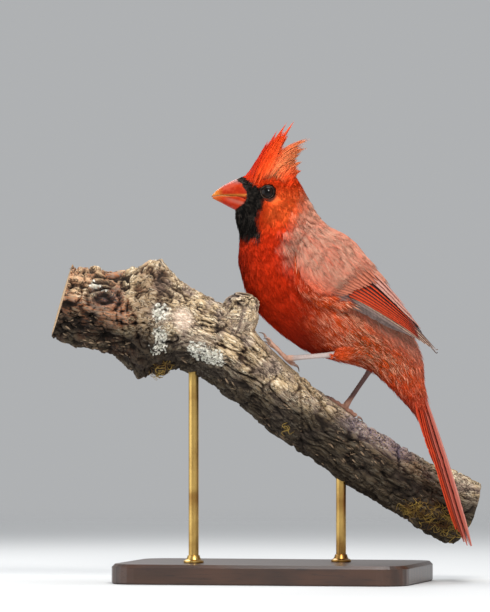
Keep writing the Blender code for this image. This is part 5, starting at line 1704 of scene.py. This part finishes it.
def makeRootletShape():
    s = np.linspace(0, 1, 12)
    height = 0.2 + 1.9 * np.sin(s * 2.7) + 0.5 * np.sin(s * 9)
    path = np.stack((-2.6 + 6.0 * s, 1.6 * np.sin(s * 7.0), height), -1)
    return shapeAtOrigin("rootlet_shape", *closedTube(sweep(path, 0.16 * (1.1 - 0.7 * s), 4)))


def makeSmallPaint(name, first, second, scale):
    paint = Paint(name)
    cloud = paint.noise(paint.objectPlace()[0], scale, 3.0)
    colour = paint.mix(cloud.rise(0.35, 0.65), first, second)
    return paint.finish(colour, Roughness=0.85, Normal=paint.bump(cloud, 0.3, 0.5), shine=0.25)


def dressBranch(bark):
    scatter = makeScatterTree()
    flakePaint = makeSmallPaint("bark_flakes", rgb(76, 58, 46), rgb(146, 124, 100), 260.0)
    crustPaint = makeSmallPaint("lichen", rgb(176, 174, 160), rgb(232, 228, 216), 700.0)
    rootPaint = makeSmallPaint("rootlets", rgb(92, 64, 34), rgb(176, 146, 72), 180.0)
    things = (
        ("bark_flakes", makeFlakeShape(), flakePaint, 60000.0, "flakeHere", 0.25, 0.7, 0.45, 3),
        ("lichen_crusts", makeCrustShape(), crustPaint, 1100000.0, "crust", 0.25, 0.85, 3.1, 4),
        ("rootlets", makeRootletShape(), rootPaint, 260000.0, "rootletHere", 0.5, 1.3, 3.1, 5),
    )
    for name, shape, finish, density, where, least, greatest, spin, seed in things:
        grow(name, bark, scatter, {
            "Shape": shape, "Finish": finish, "Density": density, "Where": where, "Least Size": least,
            "Greatest Size": greatest, "Spin": spin, "Seed": seed})
        bpy.data.objects.remove(shape)
    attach(bark, "root")
    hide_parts("perch")


# The legs

legs = {
    "left": dict(side=-1, heel=(36.4, -16.3, 114), foot=(10.6, -9, 112.2), toes=(-1, -0.3, 0.8)),
    "right": dict(side=1, heel=(48.6, 12.3, 107.4), foot=(35.4, 14.6, 89), toes=(-1, 0.3, 0.7)),
}
foot = {
    "gap": 0.3, "shank": 1.3, "toe": 1.05, "claw": 4.2,
    # name, turn from the middle toe in degrees, length, share of the toe's radius
    "toes": (
        ("inner", 32, 9.0, 0.92), ("middle", 0, 12.0, 1.0), ("outer", -32, 9.0, 0.9),
        ("hind", 172, 7.5, 1.1)),
    "steps": 24, "ball": 1.75,
}
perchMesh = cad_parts["perch"].data
perchTree = BVHTree.FromPolygons(
    [Vector(p) for p in fromWorld([tuple(v.co) for v in perchMesh.vertices])],
    [tuple(face.vertices) for face in perchMesh.polygons])
axisPoints = branchAxis(np.linspace(0, 1, 241))[:, :3]


def onPerch(spot, lift):
    # the place at a lift over the branch's solid next to a spot, and the way out of it
    touch = np.array(perchTree.find_nearest(Vector(spot))[0])
    middle = axisPoints[np.argmin(np.linalg.norm(axisPoints - touch, axis=-1))]
    out = unit(touch - middle)
    return touch + out * lift, out


def turned(direction, axis, angle):
    return direction * math.cos(angle) + np.cross(axis, direction) * math.sin(angle) + (
        axis * np.dot(axis, direction) * (1 - math.cos(angle)))


def toeLine(start, heading, length, radius):
    here, heading, path, outs, steps = start, unit(heading), [], [], foot["steps"]
    for k in range(steps + 1):
        knuckle = 0.35 * abs(math.sin(math.pi * (k * 6 / steps + 0.4) / 2.2))
        centre, out = onPerch(here, radius + foot["gap"] + 0.1 + knuckle)
        path.append(centre)
        outs.append(out)
        heading = unit(heading - out * np.dot(heading, out))
        here = centre + heading * length / steps
    return np.array(path), np.array(outs), heading


# where the legs' colours and their painted light and shade part, in metres: the near toes' end, the middle
# between the legs, the far toes' top
toesEnd, legsMiddle, toesTop = (float(k) for k in toWorld((11.5, 0.0, 89.5)))


def makeLegPaint():
    paint = Paint("leg_skin")
    vector, (x, y, z) = paint.objectPlace()
    cloud = paint.noise(vector, 160.0, 3.0)
    scales = paint.noise(vector, 1500.0, 2.0)
    # painted light and shade on one skin: the near shank is painted pale grey as if lit, the far shank dark
    # brown as if in shade; the toes keep their own pink
    pale = paint.mix(cloud, rgb(176, 154, 148), rgb(214, 202, 198))
    dark = paint.mix(cloud, rgb(78, 50, 48), rgb(128, 92, 84))
    toes = paint.mix(cloud.rise(0.35, 0.65), rgb(176, 128, 108), rgb(214, 172, 150))
    colour = paint.mix(x.rise(toesEnd, toesEnd + 0.003), toes, pale)
    far = paint.mix(z.rise(toesTop, toesTop + 0.004), toes, dark)
    colour = paint.mix(y.rise(legsMiddle - 0.002, legsMiddle + 0.002), colour, far)
    colour = paint.shade(colour, scales * 0.5 + 0.72)
    return paint.finish(colour, Roughness=0.5, Normal=paint.bump(scales, 0.2, 0.6), shine=0.4)


def makeClawPaint():
    paint = Paint("claw")
    along = paint.attribute("along")
    grain = paint.noise(paint.objectPlace()[0], 1400.0, 2.0)
    colour = paint.mix(along.rise(0.1, 0.9), rgb(168, 136, 120), rgb(84, 66, 58))
    colour = paint.shade(colour, grain * 0.4 + 0.8)
    return paint.finish(colour, Roughness=0.3, Normal=paint.bump(grain, 0.1, 0.3), shine=0.5)


def makeScuteShape():
    # one scale that wraps the front half of a leg; its Z points out, its X along the leg
    rows = ((-0.62, 0.94), (-0.5, 1.0), (-0.1, 1.05), (0.38, 1.1), (0.56, 1.07), (0.62, 0.98))
    rings = []
    for x, radius in rows:
        turn = np.radians(np.linspace(-78, 78, 9))
        outer = np.stack((0 * turn + x, np.sin(turn) * radius, np.cos(turn) * radius - 1), -1)
        inner = np.stack((0 * turn + x, np.sin(turn) * 0.9, np.cos(turn) * 0.9 - 1), -1)[::-1]
        rings.append(np.concatenate((outer, inner)))
    return shapeAtOrigin("scute_shape", *closedTube(np.array(rings)))


def makeLegs():
    legPaint, clawPaint = makeLegPaint(), makeClawPaint()
    rowTree, scuteShape = makeRowTree(), makeScuteShape()
    last = foot["steps"]
    feet = []
    for word, leg in legs.items():
        base, out = onPerch(leg["foot"], foot["toe"] + foot["gap"] + 1.0)
        middle = np.array(leg["toes"], float)
        middle = unit(middle - out * np.dot(middle, out))
        heel = np.array(leg["heel"], float)
        down = unit(base - heel)
        s = np.linspace(0, 1, 40)
        shankPath = heel - down * 0.2 + (base - down * 0.4 - heel) * s[:, None]
        shares = np.interp(s, (0, 0.06, 0.2, 0.5, 0.85, 0.95, 1.0), (1.25, 1.22, 1.0, 0.9, 1.0, 1.25, 1.35))
        tubes = [closedTube(sweep(shankPath, foot["shank"] * shares, 20))]
        front = unit(np.cross(down, (0, 1, 0)))
        front = front if np.dot(front, (-1, 0, 1)) > 0 else -front
        scutes = []
        for k in np.linspace(0.1, 0.92, 13):
            spot = shankPath[0] + (shankPath[-1] - shankPath[0]) * k
            r = foot["shank"] * np.interp(k, (0, 0.2, 0.5, 0.85, 1.0), (1.2, 1.0, 0.9, 1.0, 1.3))
            scutes.append((spot + front * r, front, down, (1.35, r, r)))
        for toe, angle, length, thick in foot["toes"]:
            radius = foot["toe"] * thick
            heading = turned(middle, out, math.radians(angle) * -leg["side"])
            path, outs, ahead = toeLine(base + heading * 0.6, heading, length, radius)
            feet += list(path[::6])
            far = np.linspace(0, 1, len(path))
            taper = radius * (1.05 - 0.22 * far) * (1 + 0.1 * np.sin(far * 15 + 1))
            first = base + out * 0.35
            line = np.concatenate(((first, first + (path[0] - first) * 0.5), path))
            tubes.append(closedTube(sweep(line, (radius * 1.25, radius * 1.15, *taper), 16)))
            for k in range(2, last, 2):
                along = unit(path[min(k + 1, last)] - path[k - 1])
                size = (length / 20, taper[k], taper[k])
                scutes.append((path[k] + outs[k] * taper[k], outs[k], along, size))
            # the claw arches down to the bark
            root = path[-1] + ahead * (foot["gap"] + 0.45)
            tip = onPerch(root + ahead * foot["claw"], foot["gap"] + 0.25)[0]
            k = np.linspace(0, 1, 18)[:, None]
            clawPath = root + (tip - root) * k + outs[-1] * 0.95 * np.sin(math.pi * k)
            clawRadii = radius * 0.7 * (1 - 0.9 * k[:, 0] ** 0.8) + 0.04
            points, faces = closedTube(sweep(clawPath, clawRadii, 14))
            clawPiece = newMesh("claw_" + word + "_" + toe + "_horn", points, faces, clawPaint)
            tidyFaces(clawPiece)
            setAttributes(clawPiece, along=np.append(np.repeat(k[:, 0], 14), (0, 1)))
            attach(clawPiece, "root")
            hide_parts("claw_" + word + "_" + toe)
        turn = circle(16)[:, None]
        ring = middle * np.cos(turn) + np.cross(out, middle) * np.sin(turn)
        tilts = np.linspace(0.15, math.pi - 0.15, 10)
        ball = [base + (out * math.cos(k) + ring * math.sin(k)) * foot["ball"] for k in tilts]
        tubes.append(closedTube(ball))
        skin = joinBySkin("leg_skin_" + word, tubes, 0.22, legPaint)
        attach(skin, "root")
        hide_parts("shank_" + word, "foot_" + word)
        spots, ways, lines, sizes = (np.array(column) for column in zip(*scutes))
        source = newMesh("scute_rows", spots, np.zeros((0, 3)))
        setAttributes(source, out=ways, ahead=lines, size=sizes)
        given = {"Shape": scuteShape, "Finish": legPaint, "Size": 1.0}
        grow("leg_scutes_" + word, source, rowTree, given)
        bpy.data.objects.remove(source)
    bpy.data.objects.remove(scuteShape)
    return feet


def joinBySkin(name, parts, voxel, material):
    # closed shapes that overlap become one even skin
    pieces = [newMesh("skin_part", points, faces) for points, faces in parts]
    for piece in pieces:
        tidyFaces(piece)
    whole = pieces[0]
    with bpy.context.temp_override(active_object=whole, selected_editable_objects=pieces, object=whole):
        bpy.ops.object.join()
    remesh = whole.modifiers.new("one_skin", "REMESH")
    remesh.mode, remesh.voxel_size = "VOXEL", voxel / 1000
    relax = whole.modifiers.new("relax", "SMOOTH")
    relax.factor, relax.iterations = 0.5, 4
    skin = evaluated(name, whole)
    bpy.data.objects.remove(whole)
    skin.data.materials.clear()
    skin.data.materials.append(material)
    return skin


# The stand

def makeWoodPaint():
    paint = Paint("stand_wood")
    vector, sides = paint.objectPlace()
    bend = paint.noise(paint.stretch(vector, (14, 40, 40)), 1.0, 3.0)
    bands = (sides[1] * 900 + bend * 16).sine() * 0.5 + 0.5
    pores = paint.noise(paint.stretch(vector, (90, 1500, 1500)), 1.0, 3.0)
    colour = paint.mix(bands * 0.6 + bend * 0.3, rgb(74, 46, 30), rgb(44, 27, 18))
    colour = paint.mix(pores.rise(0.55, 0.7) * 0.6, colour, rgb(28, 17, 12))
    return paint.finish(
        colour, Roughness=0.3 + pores * 0.2, Normal=paint.bump(pores, 0.1, 0.3), Coat_Weight=0.3,
        Coat_Roughness=0.2)


def makeBrassPaint():
    paint = Paint("stand_brass")
    vector = paint.objectPlace()[0]
    brushed = paint.noise(paint.stretch(vector, (300, 300, 6000)), 1.0, 2.0)
    cloud = paint.noise(vector, 60.0, 3.0)
    colour = paint.mix(cloud.rise(0.4, 0.7), rgb(206, 170, 98), rgb(158, 118, 62))
    normal = paint.bump(brushed, 0.05, 0.3)
    return paint.finish(colour, Metallic=1.0, Roughness=brushed * 0.25 + 0.2, Normal=normal)


def makeStand():
    woodPaint, brassPaint = makeWoodPaint(), makeBrassPaint()
    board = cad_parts["stand_base"]
    board.data.materials.clear()
    board.data.materials.append(woodPaint)
    for word in ("tall", "short"):
        low, high = (fromWorld(corner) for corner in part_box("stand_rod_" + word))
        x, y = ((low + high) / 2)[:2]
        top, radius = boardHigh[2], (high[0] - low[0]) / 2
        # a collar stands round the rod's foot: height over the board, and how far it stands out
        collar = (
            (0.05, 0.0), (0.05, 2.3), (0.5, 2.6), (1.2, 2.5), (1.8, 1.2), (3.0, 0.7), (3.8, 0.5), (4.0, 0.0))
        profile = [(low[2], radius), *((top + z, radius + out) for z, out in collar), (high[2], radius)]
        turn = circle(48)
        rings = [np.stack((x + r * np.cos(turn), y + r * np.sin(turn), 0 * turn + z), -1) for z, r in profile]
        piece = newMesh("rod_" + word + "_brass", *closedTube(rings), brassPaint)
        tidyFaces(piece)
        piece.data.set_sharp_from_angle(angle=math.radians(40))
        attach(piece, "root")
        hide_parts("stand_rod_" + word)


makeSkin()
feet = makeLegs()
barkPaint = makeBarkPaint()
bark = makeBranch(feet, barkPaint)
makeStub(barkPaint)
dressBranch(bark)
makeStand()
bodyCoat()
thighCoat()
for side, word in ((-1, "left"), (1, "right")):
    makeWing(side, word)
makeTail()
makeCrest()
makeEyes()
makeBill()
makeLores()

# The floor

floorPaint = Paint("floor")
floorX, floorY = floorPaint.objectPlace()[1][:2]
away = (floorX * floorX + floorY * floorY) ** 0.5
floorMaterial = floorPaint.finish((0.72, 0.73, 0.74, 1), Roughness=0.6, Alpha=1 - away.rise(0.3, 1.4))
floorCorners = np.array(((-3000, -3000, 0), (3000, -3000, 0), (3000, 3000, 0), (-3000, 3000, 0)))
floor = newMesh("floor", floorCorners - shift, ((0, 1, 2, 3),), floorMaterial)
